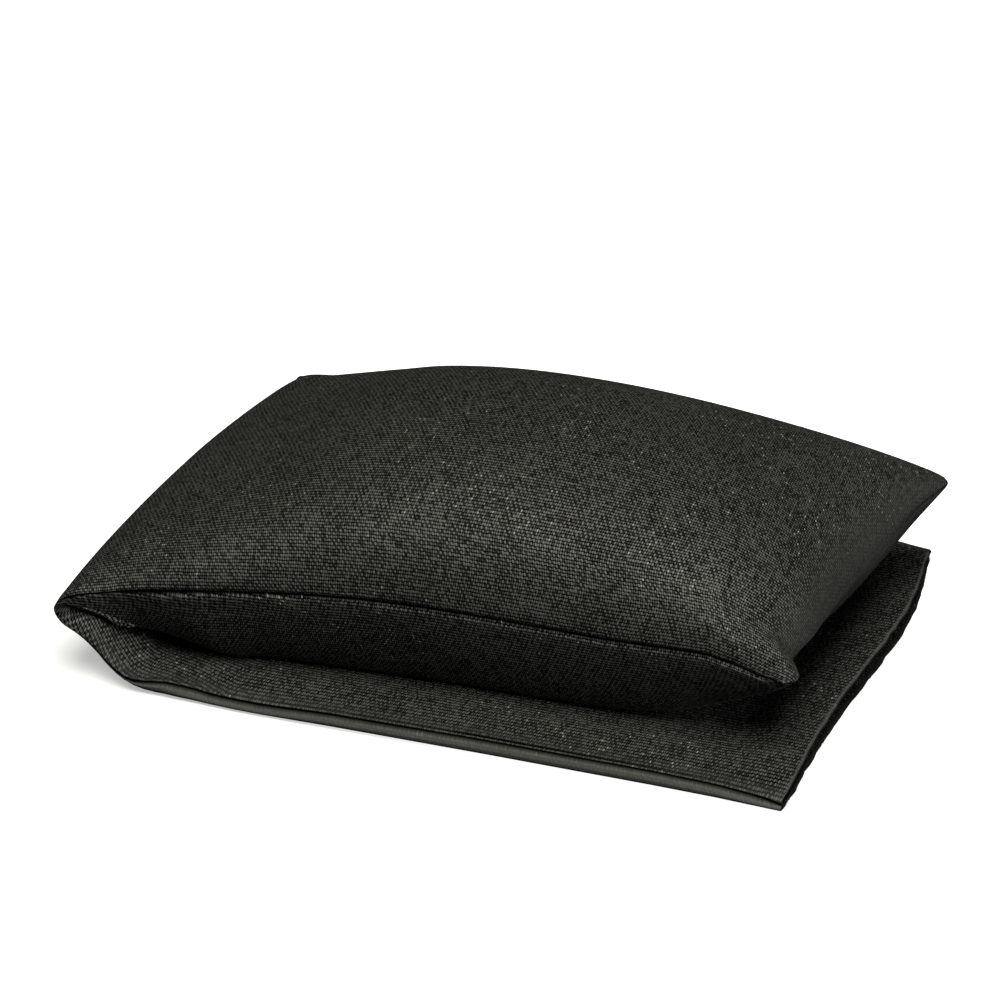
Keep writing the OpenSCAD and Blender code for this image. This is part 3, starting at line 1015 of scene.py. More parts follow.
@dataclass(frozen=True)
class WovenFinish:
    """A woven cloth: its colours, painted shade in the gaps (dark) and painted highlight on the
    raised threads (light), thread spacing, relief and sheen.
    """

    name: str
    slot: str
    dark: tuple[float, float, float]
    light: tuple[float, float, float]
    fleck: tuple[float, float, float]
    along: float
    across: float
    wander: float
    relief: float
    patchy: float
    roughness: float
    shine: float
    fibre_ior: float
    sheen: float
    sheen_tint: tuple[float, float, float]
    sheen_roughness: float = 0.45
    patch_scale: float = 26.0
    calm_nub: float = 0.34
    calm_relief: float = 0.8

    def material(self) -> bpy.types.Material:
        """Material of this cloth, made once."""
        found = bpy.data.materials.get(self.name)
        if found:
            return found
        material, make, shader = start_material(self.name)
        uv = make.add("ShaderNodeUVMap", uv_map=CLOTH_UV)
        weave = make.add("ShaderNodeGroup", node_tree=PlainWeave.tree())
        make.feed(weave.inputs["Place"], uv.outputs[0])
        weave.inputs["Along"].default_value = self.along
        weave.inputs["Across"].default_value = self.across
        weave.inputs["Wander"].default_value = self.wander
        place = make.add("ShaderNodeTexCoord").outputs["Object"]
        patch = make.noise(place, self.patch_scale, 3.0)
        uneven = make.math("MULTIPLY", make.math("SUBTRACT", patch, 0.5), self.patchy)
        # Brightness of the weave: random dye patches, less the painted shade, plus the painted
        # light.
        seam = make.add("ShaderNodeAttribute", attribute_name=PAINTED_LIGHT_AND_SHADE)
        dye_with_painted_light_and_shade = make.math("SUBTRACT", make.math("ADD", uneven, 1.0), seam.outputs["Fac"])
        dye_with_painted_light_and_shade = make.math("MAXIMUM", dye_with_painted_light_and_shade, 0.0)
        calm = make.add("ShaderNodeAttribute", attribute_name=WEAVE_CALM).outputs["Fac"]
        plain = make.math("SUBTRACT", self.calm_nub, weave.outputs["Nub"])
        nub = make.math("ADD", weave.outputs["Nub"], make.math("MULTIPLY", plain, calm))
        nub = make.math("MULTIPLY", nub, dye_with_painted_light_and_shade)
        # Painted shade and highlight of the weave: dark in the gaps and on the lower threads,
        # where shade falls, light on the raised thread tops, where light falls.
        colour = make.mix(nub, (*self.dark, 1), (*self.light, 1))
        # Flecks in the base colour: pale painted glints on the linen, darker flecks of its own
        # colour on the cotton; both also get the coat's real gloss below.
        fleck = make.math("MULTIPLY", weave.outputs["Fleck"], make.math("SUBTRACT", 1.0, calm))
        make.feed(shader.inputs["Base Color"], make.mix(fleck, colour, (*self.fleck, 1)))
        bump = make.add("ShaderNodeBump")
        bump.inputs["Distance"].default_value = self.relief
        kept = make.math("SUBTRACT", 1.0, make.math("MULTIPLY", calm, self.calm_relief))
        make.feed(bump.inputs["Height"], make.math("MULTIPLY", weave.outputs["Height"], kept))
        make.feed(shader.inputs["Normal"], bump.outputs[0])
        gloss = make.math("ADD", make.math("MULTIPLY", nub, self.shine), fleck)
        make.feed(shader.inputs["Coat Weight"], make.math("MINIMUM", gloss, 1.0))
        constants = {
            "Roughness": self.roughness,
            "Specular IOR Level": 0.0,
            "Coat Roughness": self.roughness,
            "Coat IOR": self.fibre_ior,
            "Sheen Weight": self.sheen,
            "Sheen Roughness": self.sheen_roughness,
            "Sheen Tint": (*self.sheen_tint, 1),
        }
        for label, value in constants.items():
            shader.inputs[label].default_value = value
        return material


@dataclass(frozen=True)
class GrainFinish:
    """A small solid thing, such as thread, lint or seed, with a fine streaked colour."""

    name: str
    slot: str
    dark: tuple[float, float, float]
    light: tuple[float, float, float]
    scale: float
    roughness: float
    relief: float = 0.00005

    def material(self) -> bpy.types.Material:
        """Material of this finish, made once."""
        found = bpy.data.materials.get(self.name)
        if found:
            return found
        material, make, shader = start_material(self.name)
        place = make.add("ShaderNodeTexCoord").outputs["Object"]
        grain = make.noise(place, self.scale, 3.0)
        make.feed(shader.inputs["Base Color"], make.mix(grain, (*self.dark, 1), (*self.light, 1)))
        bump = make.add("ShaderNodeBump")
        bump.inputs["Distance"].default_value = self.relief
        make.feed(bump.inputs["Height"], grain)
        make.feed(shader.inputs["Normal"], bump.outputs[0])
        shader.inputs["Roughness"].default_value = self.roughness
        return material


# Linen: near-black painted shade in the weave's gaps, lighter thread tops as painted highlight,
# pale flecks as painted glints.
LINEN = WovenFinish(
    name="linen_weave", slot="linen",
    dark=(0.0015, 0.0015, 0.0013), light=(0.077, 0.078, 0.068), fleck=(0.42, 0.42, 0.38),
    along=0.00057, across=0.00122, wander=0.5, relief=0.00018, patchy=0.7,
    roughness=0.68, shine=1.0, fibre_ior=2.06, sheen=0.02, sheen_tint=(0.80, 0.78, 0.66),
)
# Cotton: the same painted shade and highlight of the weave, softer, with darker flecks of its own
# colour.
COTTON = WovenFinish(
    name="cotton_weave", slot="cotton",
    dark=(0.60, 0.56, 0.47), light=(0.86, 0.83, 0.75), fleck=(0.50, 0.42, 0.30),
    along=0.00045, across=0.00045, wander=0.3, relief=0.00010, patchy=0.2,
    roughness=0.9, shine=0.1, fibre_ior=1.5, sheen=0.1, sheen_tint=(0.95, 0.93, 0.88),
)
THREAD = GrainFinish(
    "twisted_thread", "sewing_thread", (0.012, 0.012, 0.011), (0.035, 0.035, 0.031), 2600.0, 0.8
)
LINT = GrainFinish("pale_lint", "linen", (0.16, 0.16, 0.145), (0.42, 0.42, 0.39), 900.0, 0.9)
FRAY = GrainFinish("dark_fibre", "linen", (0.016, 0.016, 0.015), (0.05, 0.05, 0.045), 900.0, 0.9)
SEED = GrainFinish("seed_husk", "seeds", (0.13, 0.055, 0.02), (0.34, 0.18, 0.08), 320.0, 0.42)


def new_piece(name: str, points: Grid, faces: list[tuple[int, ...]]) -> bpy.types.Object:
    """Mesh object at the origin from points in millimetres.

    Args:
        name: Name of the piece.
        points: Its points.
        faces: Its faces, as point numbers.

    Returns:
        The new object.
    """
    mesh = bpy.data.meshes.new(name)
    mesh.from_pydata((points.reshape(-1, 3) * MM).tolist(), [], faces)
    mesh.validate()
    mesh.polygons.foreach_set("use_smooth", np.ones(len(mesh.polygons), bool))
    return add_object(name, mesh)


def grid_faces(rows: int, cols: int, start: int, flip: bool, ring: bool) -> list[tuple[int, ...]]:
    """Quads of a grid of points.

    Args:
        rows: Rows of points.
        cols: Points in a row.
        start: Number of the first point.
        flip: Whether the faces look the other way.
        ring: Whether each row closes on itself.

    Returns:
        The faces.
    """
    faces = []
    for i in range(rows - 1):
        for j in range(cols if ring else cols - 1):
            k = (j + 1) % cols
            a, b = start + i * cols + j, start + i * cols + k
            c, d = start + (i + 1) * cols + k, start + (i + 1) * cols + j
            faces.append((a, b, c, d) if flip else (a, d, c, b))
    return faces


def cloth_piece(
    name: str, outer: Grid, inner: Grid, uv: Grid, normals: Grid, finish: WovenFinish,
    ring: bool = False, flip: bool = False, marks: dict[str, Grid] | None = None,
) -> bpy.types.Object:
    """Closed piece of cloth between an outside and an inside grid.

    Args:
        name: Name of the piece.
        outer: Points of the outside, by row and column.
        inner: Points of the inside.
        uv: Flat place of each point on the cloth, in metres.
        normals: Outward normals of the outside.
        finish: The cloth's finish.
        ring: Whether the rows close on themselves.
        flip: Whether the faces look the other way.
        marks: Named values of each point, for the cloth's finish.

    Returns:
        The new object.
    """
    rows, cols = outer.shape[:2]
    count = rows * cols
    faces = grid_faces(rows, cols, 0, flip, ring)
    faces += grid_faces(rows, cols, count, not flip, ring)
    rims = []
    for j in range(cols if ring else cols - 1):
        k = (j + 1) % cols
        rims.append((j, k))
        rims.append(((rows - 1) * cols + k, (rows - 1) * cols + j))
    if not ring:
        for i in range(rows - 1):
            rims.append(((i + 1) * cols, i * cols))
            rims.append((i * cols + cols - 1, (i + 1) * cols + cols - 1))
    for a, b in rims:
        rim = (b, a, count + a, count + b)
        faces.append(rim if flip else rim[::-1])
    piece = new_piece(name, np.concatenate([outer.reshape(-1, 3), inner.reshape(-1, 3)]), faces)
    paint_cloth(piece, np.concatenate([uv.reshape(-1, 2)] * 2), finish)
    for label, values in (marks or {}).items():
        mark = piece.data.attributes.new(label, "FLOAT", "POINT")
        mark.data.foreach_set("value", np.concatenate([values.reshape(-1)] * 2).astype(np.float32))
    shading = np.concatenate([normals.reshape(-1, 3), -normals.reshape(-1, 3)])
    piece.data.normals_split_custom_set_from_vertices(shading.tolist())
    return piece


def paint_cloth(piece: bpy.types.Object, flat: Grid, finish: WovenFinish) -> None:
    """Give a piece its cloth coordinates and finish.

    Args:
        piece: The piece.
        flat: Flat place of each of its points, in metres.
        finish: The finish.
    """
    mesh = piece.data
    layer = mesh.uv_layers.new(name=CLOTH_UV)
    corner = np.empty(len(mesh.loops), np.int32)
    mesh.loops.foreach_get("vertex_index", corner)
    layer.data.foreach_set("uv", flat[corner].reshape(-1).astype(np.float32))
    mesh.materials.append(finish.material())


def settle(
    piece: bpy.types.Object, finish: WovenFinish | GrainFinish, body: str, *nodes: str
) -> bpy.types.Object:
    """Put a piece on its body and hide the nodes that it stands for."""
    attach(piece, body)
    if nodes:
        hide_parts(*nodes)
    LOG.info("%s rides on %s", piece.name, body)
    return piece


class Scatter:
    """Geometry Nodes trees for what repeats along a line or over a surface."""

    most_tilt = 1.2

    @staticmethod
    def _plain(carrier: bpy.types.Object, name: str) -> bpy.types.Object:
        """Turn a carrier with its modifier into a plain mesh piece, and drop the carrier."""
        graph = bpy.context.evaluated_depsgraph_get()
        mesh = bpy.data.meshes.new_from_object(carrier.evaluated_get(graph))
        mesh.name = name
        piece = add_object(name, mesh)
        drop_object(carrier)
        return piece

    @staticmethod
    def _start(name: str, sizes: dict[str, float]) -> tuple[bpy.types.NodeTree, NodeMaker]:
        """New geometry tree with named sizes as inputs."""
        tree = bpy.data.node_groups.new(name, "GeometryNodeTree")
        tree.interface.new_socket("Geometry", in_out="INPUT", socket_type="NodeSocketGeometry")
        for label in sizes:
            tree.interface.new_socket(label, in_out="INPUT", socket_type="NodeSocketFloat")
        tree.interface.new_socket("Geometry", in_out="OUTPUT", socket_type="NodeSocketGeometry")
        return tree, NodeMaker(tree)

    @staticmethod
    def _apply(
        carrier: bpy.types.Object, tree: bpy.types.NodeTree, sizes: dict[str, float]
    ) -> None:
        """Add the tree to a carrier and set its sizes by their identifiers."""
        modifier = carrier.modifiers.new(tree.name, "NODES")
        modifier.node_group = tree
        for item in tree.interface.items_tree:
            if item.in_out == "INPUT" and item.name in sizes:
                modifier[item.identifier] = float(sizes[item.name])

    @classmethod
    def stitches(
        cls, name: str, path: Grid, pitch: float, length: float, width: float,
        finish: GrainFinish,
    ) -> bpy.types.Object:
        """Row of rounded stitches along a line.

        Args:
            name: Name of the piece.
            path: Points of the line, in millimetres.
            pitch: Distance between stitches, in metres.
            length: Length of a stitch, in metres.
            width: Thickness of the thread, in metres.
            finish: The thread's finish.

        Returns:
            The row as one plain mesh.
        """
        mesh = bpy.data.meshes.new(name)
        edges = [(i, i + 1) for i in range(len(path) - 1)]
        mesh.from_pydata((path * MM).tolist(), edges, [])
        carrier = add_object(name + "_line", mesh)
        sizes = {"Pitch": pitch, "Stitch length": length, "Thread": width}
        tree, make = cls._start(name, sizes)
        source = make.add("NodeGroupInput").outputs
        line = make.add("GeometryNodeMeshToCurve")
        make.feed(line.inputs[0], source["Geometry"])
        points = make.add("GeometryNodeCurveToPoints", mode="LENGTH")
        make.feed(points.inputs["Curve"], line.outputs[0])
        make.feed(points.inputs["Length"], source["Pitch"])
        bead = make.add("GeometryNodeMeshUVSphere")
        bead.inputs["Segments"].default_value = 6
        bead.inputs["Rings"].default_value = 5
        bead.inputs["Radius"].default_value = 0.5
        size = make.combine(source["Thread"], source["Thread"], source["Stitch length"])
        copies = make.add("GeometryNodeInstanceOnPoints")
        make.feed(copies.inputs["Points"], points.outputs["Points"])
        make.feed(copies.inputs["Instance"], bead.outputs[0])
        make.feed(copies.inputs["Rotation"], points.outputs["Rotation"])
        make.feed(copies.inputs["Scale"], size)
        cls._end(make, copies.outputs[0], finish)
        cls._apply(carrier, tree, sizes)
        return cls._plain(carrier, name)

    @staticmethod
    def _end(make: NodeMaker, geometry: bpy.types.NodeSocket, finish: GrainFinish) -> None:
        """Close a tree with Realize Instances and Set Material."""
        real = make.add("GeometryNodeRealizeInstances")
        make.feed(real.inputs[0], geometry)
        smooth = make.add("GeometryNodeSetShadeSmooth")
        make.feed(smooth.inputs[0], real.outputs[0])
        paint = make.add("GeometryNodeSetMaterial")
        make.feed(paint.inputs[0], smooth.outputs[0])
        paint.inputs["Material"].default_value = finish.material()
        make.feed(make.add("NodeGroupOutput").inputs[0], paint.outputs[0])

    @classmethod
    def over_faces(
        cls, name: str, carrier: bpy.types.Object, unit_piece: bpy.types.Object,
        density: float, scale: tuple[float, float], flat: float, seed: int,
        finish: GrainFinish,
    ) -> bpy.types.Object:
        """Copies of a small piece scattered over a surface.

        Args:
            name: Name of the new piece.
            carrier: Surface to scatter on, which is used up.
            unit_piece: The small piece, which is used up.
            density: Copies per square metre.
            scale: Least and greatest size of a copy.
            flat: 1 to lay the copies on the surface, 0 to let them stand up.
            seed: Seed of the random places.
            finish: The copies' finish.

        Returns:
            All copies as one plain mesh.
        """
        sizes = {
            "Density": density, "Least size": scale[0], "Greatest size": scale[1],
            "Tilt": 1 - flat,
        }
        tree, make = cls._start(name, sizes)
        source = make.add("NodeGroupInput").outputs
        points = make.add("GeometryNodeDistributePointsOnFaces")
        make.feed(points.inputs["Mesh"], source["Geometry"])
        make.feed(points.inputs["Density"], source["Density"])
        points.inputs["Seed"].default_value = seed
        spin = make.add("FunctionNodeRandomValue", data_type="FLOAT_VECTOR")
        tilt = make.math("MULTIPLY", source["Tilt"], cls.most_tilt)
        back = make.math("MULTIPLY", tilt, -1.0)
        make.feed(spin.inputs[0], make.combine(back, back))
        make.feed(spin.inputs[1], make.combine(tilt, tilt, 2 * pi))
        spin.inputs["Seed"].default_value = seed + 1
        turn = make.add("FunctionNodeRotateRotation", rotation_space="LOCAL")
        make.feed(turn.inputs[0], points.outputs["Rotation"])
        make.feed(turn.inputs[1], spin.outputs[0])
        size = make.add("FunctionNodeRandomValue", data_type="FLOAT")
        make.feed(size.inputs[2], source["Least size"])
        make.feed(size.inputs[3], source["Greatest size"])
        size.inputs["Seed"].default_value = seed + 2
        shape = make.add("GeometryNodeObjectInfo")
        shape.inputs[0].default_value = unit_piece
        copies = make.add("GeometryNodeInstanceOnPoints")
        make.feed(copies.inputs["Points"], points.outputs["Points"])
        make.feed(copies.inputs["Instance"], shape.outputs["Geometry"])
        make.feed(copies.inputs["Rotation"], turn.outputs[0])
        make.feed(copies.inputs["Scale"], size.outputs[1])
        cls._end(make, copies.outputs[0], finish)
        cls._apply(carrier, tree, sizes)
        piece = cls._plain(carrier, name)
        drop_object(unit_piece)
        return piece


def fibre(length: float, radius: float, bend: float) -> bpy.types.Object:
    """One bent fibre of unit scale that lies along x, in millimetres.

    Args:
        length: Length of the fibre.
        radius: Its radius in the middle.
        bend: How far its middle is bent out.

    Returns:
        The fibre as a mesh object.
    """
    rings, sides = 7, 3
    k = np.linspace(0, 1, rings)
    curve = bend * np.sin(pi * k) + 0.4 * bend * np.sin(3 * pi * k)
    centre = np.stack([length * (k - 0.5), curve, 0.35 * bend * k], -1)
    thick = radius * (0.35 + 0.65 * np.sin(pi * k))
    turn = np.linspace(0, 2 * pi, sides, endpoint=False)
    points = np.stack([centre + thick[:, None] * np.array([0, cos(a), sin(a)]) for a in turn], 1)
    faces = grid_faces(rings, sides, 0, True, True)
    faces += [tuple(range(sides - 1, -1, -1)), tuple(range((rings - 1) * sides, rings * sides))]
    return new_piece("fibre", points, faces)


@dataclass(frozen=True)
class Fuzz:
    """Fibres scattered over a part of the cloth.

    The fibre is a length, a radius and a bend in millimetres, and the density counts
    fibres on a square metre.
    """

    name: str
    body: str
    finish: GrainFinish
    fibre: tuple[float, float, float]
    density: float
    scale: tuple[float, float]
    flat: float
    seed: int
    lift: float = 0.0

    def lay(self, ground: Grid, flip: bool = False) -> None:
        """Scatter the fibres.

        Args:
            ground: Points of the cloth, by row and column.
            flip: Whether the cloth looks the other way.
        """
        rows, cols = ground.shape[:2]
        points = ground + np.array([0, 0, self.lift])
        carrier = new_piece(f"{self.name}_ground", points, grid_faces(rows, cols, 0, flip, False))
        piece = Scatter.over_faces(
            self.name, carrier, fibre(*self.fibre), self.density, self.scale, self.flat,
            self.seed, self.finish,
        )
        settle(piece, self.finish, self.body)


MOUTH_FRAY = Fuzz("mouth_fray", "flap", FRAY, (1.7, 0.05, 0.3), 2.4e6, (0.4, 1.3), 0.0, 3)
CROWN_FIBRES = Fuzz(
    "crown_fibres", "pillow", FRAY, (2.0, 0.035, 0.3), 9000.0, (0.4, 1.3), 0.75, 8, 0.12
)
CROWN_LINT = Fuzz(
    "crown_lint", "pillow", LINT, (1.6, 0.045, 0.35), 1500.0, (0.4, 1.6), 0.96, 14, 0.18
)
FLAP_LINT = Fuzz(
    "flap_lint", "flap", LINT, (1.2, 0.05, 0.25), 700.0, (0.4, 1.3), 0.96, 19, 0.15
)


@dataclass
class Sleeve:
    """The linen sleeve: filled half, turn, flap, seam allowances and mouth."""

    skin: SleeveSkin
    curl_r: float = 0.95
    curl_rows: int = 8
    curl_ragged: float = 0.22
    # Painted highlight on the upper lip's edge and painted shade on the rest of both lips.
    lip_light: float = 1.0
    lip_painted_shade: float = 0.7
    lip_calm: float = 0.8
    fill: float = 0.8
    ramp_way: tuple[float, float] = (0.5, 0.87)
    ramp_reach: tuple[float, float] = (3.2, 8.0)
    hang_way: tuple[float, float] = (1.0, 0.0)
    hang_reach: tuple[float, float] = (2.8, 6.3)
    strip_offset: float = 300.0
    hem_inset: tuple[float, float] = (2.0, 8.0)
    hem_room: float = 0.05
    stitch_inset: float = 2.5
    stitch_ends: float = 12.0
    stitch_size: tuple[float, float, float] = (0.004, 0.0028, 0.0005)
    thread_room: float = 0.2
    cover_strip: tuple[float, float] = (3.4, 1.5)
    flap_strip: tuple[float, float] = (2.2, 1.4)
    turn_strip: float = 0.7

    def build(self) -> None:
        """Build every piece of the sleeve."""
        self.cover()
        lower_hem, upper_hem = self.hems()
        flap_strips, turn_strips = self.allowances()
        self.turn(turn_strips)
        self.flap({Ply.OUTER: [lower_hem, *flap_strips], Ply.INNER: [upper_hem]})
        self.mouth_stitches()
        self.fuzz()

    def _inside(self, points: Grid, normals: Grid, share: Grid | float = 1.0) -> Grid:
        """Inside of the cloth below its outside, at a share of its thickness."""
        return points - normals * (self.skin.shape.cloth_t * share)

    def cover(self) -> None:
        """The filled half as one bag, closed at its end and open towards the turn."""
        skin = self.skin
        rows = slice(0, skin.cover_end + 1)
        outer, normals = skin.points[rows], skin.normals[rows]
        inner = self._inside(outer, normals)
        inner[0] = outer[0] - np.array([skin.shape.cloth_t, 0, 0])
        piece = cloth_piece(
            "pillow_cover", outer, inner, skin.uv[rows], normals, LINEN, ring=True,
            marks={PAINTED_LIGHT_AND_SHADE: skin.shade[rows], WEAVE_CALM: skin.calm[rows]},
        )
        settle(piece, LINEN, "pillow", "cover_top_panel", "cover_under_panel")

    def _span(self, name: str, ply: Ply, first: int, last: int) -> bpy.types.Object:
        """Piece of one layer between two rows of the sleeve."""
        skin = self.skin
        index = skin.layer(ply)
        pick = np.ix_(np.arange(first, last + 1), index)
        outer, normals = skin.points[pick], skin.normals[pick]
        return cloth_piece(
            name, outer, self._inside(outer, normals), skin.uv[pick], normals, LINEN,
            flip=ply is Ply.INNER,
            marks={PAINTED_LIGHT_AND_SHADE: skin.shade[pick], WEAVE_CALM: skin.calm[pick]},
        )

    def _flat(self, ply: Ply, first: int, last: int) -> tuple[float, float]:
        """Flat width and length of one layer between two rows, in metres."""
        length = np.ptp(self.skin.uv[[first, last]][:, self.skin.layer(ply), 0].mean(1))
        return 2 * self.skin.shape.half_w * MM, float(length)

    def _bend(
        self, piece: bpy.types.Object, way: tuple[float, float], reach: tuple[float, float]
    ) -> None:
        """Bake the place of a piece of the turn into its mesh; it is not made to bend between the
        flap and the pillow.

        Args:
            piece: The piece.
            way: Direction of the bend, along the sleeve and upwards; not used.
            reach: How far before and behind the folded edge it bends, in millimetres; not used.
        """
        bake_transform(piece)
        LOG.info("%s bends between flap and pillow", piece.name)

    def turn(self, strips: list[bpy.types.Object]) -> None:
        """The two layers of cloth that bend round the folded edge.

        Args:
            strips: The seam allowances inside the turn; not used.
        """
        first, tip, last = self.skin.cover_end, self.skin.tip, self.skin.turn_end
        ramp = (self.ramp_way, self.ramp_reach)
        hang = (self.hang_way, self.hang_reach)
        spans = (
            ("turn_outer_cloth", Ply.OUTER, first, last, ramp, "turn_outer_layer"),
            ("turn_upper_inner_cloth", Ply.INNER, first, tip, hang, "turn_inner_layer"),
            ("turn_lower_inner_cloth", Ply.INNER, tip, last, ramp, "turn_inner_layer"),
        )
        for name, ply, start, end, line, node in spans:
            piece = self._span(name, ply, start, end)
            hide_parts(node)
            self._flat(ply, start, end)
            self._bend(piece, *line)

    def _curl(self, ply: Ply, points: Grid, uv: Grid, normals: Grid) -> tuple[Grid, ...]:
        """Add the rolled lip of the mouth to a layer of the flap.

        Args:
            ply: The layer.
            points: Its rows.
            uv: Its flat places.
            normals: Its normals.

        Returns:
            Rows, flat places, normals and shares of the thickness, with the lip.
        """
        up = -1.0 if ply is Ply.INNER else 1.0
        shape = self.skin.shape
        t = points[-1, :, 1] / shape.half_w
        radius = self.curl_r * (0.12 + 0.88 * dome(t, 10, 0.5))
        rows, flats, outs = [points], [uv], [normals]
        base = points[-1]
        ragged = self.curl_ragged * ripple(base[:, 1], 0 * base[:, 1], 5 + int(up), 9, 7.0)
        for i in range(1, self.curl_rows + 1):
            a = pi * i / self.curl_rows
            row = base.copy()
            row[:, 0] += radius * np.sin(a) + ragged * np.sin(a)
            row[:, 2] += up * radius * (1 - np.cos(a))
            rows.append(row[None])
            flat = uv[-1].copy()
            flat[:, 0] += radius * a * MM
            flats.append(flat[None])
            out = np.stack([np.full_like(t, sin(a)), 0 * t, np.full_like(t, -up * cos(a))], -1)
            outs.append(out[None])
        thin = np.minimum(1.0, 0.9 * radius / shape.cloth_t)
        share = np.ones((len(points) + self.curl_rows, len(t), 1))
        share[-self.curl_rows - 3 :] = thin[None, :, None]
        return np.concatenate(rows), np.concatenate(flats), np.concatenate(outs), share

    def flap(self, strips: dict[Ply, list[bpy.types.Object]]) -> None:
        """The two layers of the empty half, each with a rolled lip at the mouth.

        Args:
            strips: The hem and seam allowances that lie on each layer; not used.
        """
        skin = self.skin
        first, last = skin.turn_end, skin.points.shape[0] - 1
        names = {
            Ply.OUTER: ("flap_lower_cloth", "flap_lower_layer"),
            Ply.INNER: ("flap_upper_cloth", "flap_upper_layer"),
        }
        for ply, (name, node) in names.items():
            pick = np.ix_(np.arange(first, last + 1), skin.layer(ply))
            points, uv, normals, share = self._curl(
                ply, skin.points[pick], skin.uv[pick], skin.normals[pick]
            )
            turned = np.ones((self.curl_rows, len(share[0])))
            # Painted highlight on the upper lip's first turned rows, painted shade on all other
            # turned rows.
            bright = np.linspace(1, 0, self.curl_rows)[:, None] > 0.8
            dark = np.where(bright & (ply is Ply.INNER), -self.lip_light, self.lip_painted_shade) * turned
            marks = {
                PAINTED_LIGHT_AND_SHADE: np.concatenate([skin.shade[pick], dark]),
                WEAVE_CALM: np.concatenate([skin.calm[pick], self.lip_calm * turned]),
            }
            piece = cloth_piece(
                name, points, self._inside(points, normals, share), uv, normals, LINEN,
                flip=ply is Ply.INNER, marks=marks,
            )
            settle(piece, LINEN, "flap", node)
            self._flat(ply, first, last)

    def _strip(self, name: str, rows: Grid, thick: float) -> bpy.types.Object:
        """Narrow strip of folded cloth.

        Args:
            name: Name of the piece.
            rows: Points of its upper face, by row and column.
            thick: Thickness in millimetres.

        Returns:
            The new piece.
        """
        step = np.gradient(rows, axis=0)
        across = np.gradient(rows, axis=1)
        normals = unit(np.cross(across, step))
        flip = bool(normals[..., 2].mean() < 0)
        normals = -normals if flip else normals
        length = np.cumsum(np.linalg.norm(step, axis=2), axis=0)
        width = np.cumsum(np.linalg.norm(across, axis=2), axis=1)
        uv = np.stack([length, width + self.strip_offset], -1) * MM
        return cloth_piece(name, rows, rows - normals * thick, uv, normals, LINEN, flip=not flip)

    def hems(self) -> tuple[bpy.types.Object, bpy.types.Object]:
        """The turned hem behind the lower and the upper lip of the mouth."""
        shape = self.skin.shape
        back = np.linspace(shape.hem_w, self.curl_r, 12)[:, None]
        t = np.linspace(-1, 1, 61)[None, :]
        y = t * (shape.half_w - self.hem_inset[0]) + 0 * back
        x = shape.mouth_line(y) - back
        fray = 0.25 * ripple(y, 0 * y, 11, 9, 8.0) * (back == shape.hem_w)
        low = np.stack([x + fray, y, np.full_like(x, 2 * self.curl_r + self.hem_room)], -1)
        lower = self._strip("lower_mouth_hem_cloth", low, shape.hem_t)
        settle(lower, LINEN, "flap", "lower_mouth_hem")
        y = t * (shape.half_w - self.hem_inset[1]) + 0 * back
        x = shape.mouth_line(y) - shape.lip_back - back
        z = shape.flap_top(x, y) - 2 * self.curl_r + shape.hem_t - self.hem_room
        high = np.stack([x - fray, y, z], -1)
        upper = self._strip("upper_mouth_hem_cloth", high, shape.hem_t)
        settle(upper, LINEN, "flap", "upper_mouth_hem")
        return lower, upper

    def allowances(self) -> tuple[list[bpy.types.Object], list[bpy.types.Object]]:
        """The seam allowances inside the long edges, one strip for each span.

        Returns:
            The strips inside the flap and those inside the turn.
        """
        on_flap, on_turn = [], []
        for side in Side:
            self._cover_allowance(side)
            on_flap.append(self._flap_allowance(side))
            on_turn.append(self._turn_allowance(side))
        return on_flap, on_turn

    def _depth(self) -> Grid:
        """Columns of an allowance, from the seam inwards."""
        return np.linspace(0.0, self.skin.shape.seam_w, 7)[None, :]

    def _cover_allowance(self, side: Side) -> None:
        """The wavy seam allowance inside the filled half."""
        shape, depth = self.skin.shape, self._depth()
        label = side.name.lower()
        inset, thick = self.cover_strip
        k = np.linspace(0.2, 0.985, 70)[:, None]
        wave = 0.4 * ripple(k * 190, depth, 21 + side.value, 8, 18.0) * depth / shape.seam_w
        y = side.value * (shape.side(k) - inset - depth)
        z = shape.seam_height(k) + 0.8 + wave
        rows = np.stack([shape.along(k, y), y, z + 0 * y], -1)
        piece = self._strip(f"cover_{label}_allowance", rows, thick)
        settle(piece, LINEN, "pillow", f"cover_{label}_seam")

    def _flap_allowance(self, side: Side) -> bpy.types.Object:
        """The seam allowance that lies flat inside the flap."""
        shape, depth = self.skin.shape, self._depth()
        label = side.name.lower()
        inset, thick = self.flap_strip
        y = side.value * (shape.half_w - inset - depth)
        start, end = shape.lift_line(y) + 2, shape.mouth_line(y) - shape.hem_w - 2
        v = np.linspace(0, 1, 60)[:, None]
        rows = np.stack([start + v * (end - start), y + 0 * v, 2.35 + 0 * v * y], -1)
        piece = self._strip(f"flap_{label}_allowance", rows, thick)
        return settle(piece, LINEN, "flap", f"flap_{label}_seam")

    def _turn_allowance(self, side: Side) -> bpy.types.Object:
        """The seam allowance that bends inside the turn."""
        shape = self.skin.shape
        label = side.name.lower()
        u = np.linspace(0.08, 0.92, 40)[:, None]
        t = side.value * np.linspace(0.955, 0.84, 5)[None, :]
        y = t * shape.turn_half(u)
        x, z = shape.turn_curve(u, t, y, 0)
        dx, dz = np.gradient(x, axis=0), np.gradient(z, axis=0)
        length = np.hypot(dx, dz)
        rows = np.stack([x - 0.1 * dz / length, y, z + 0.1 * dx / length], -1)
        piece = self._strip(f"turn_{label}_allowance", rows, self.turn_strip)
        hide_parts(f"turn_{label}_seam")
        self._bend(piece, self.ramp_way, self.ramp_reach)
        return piece

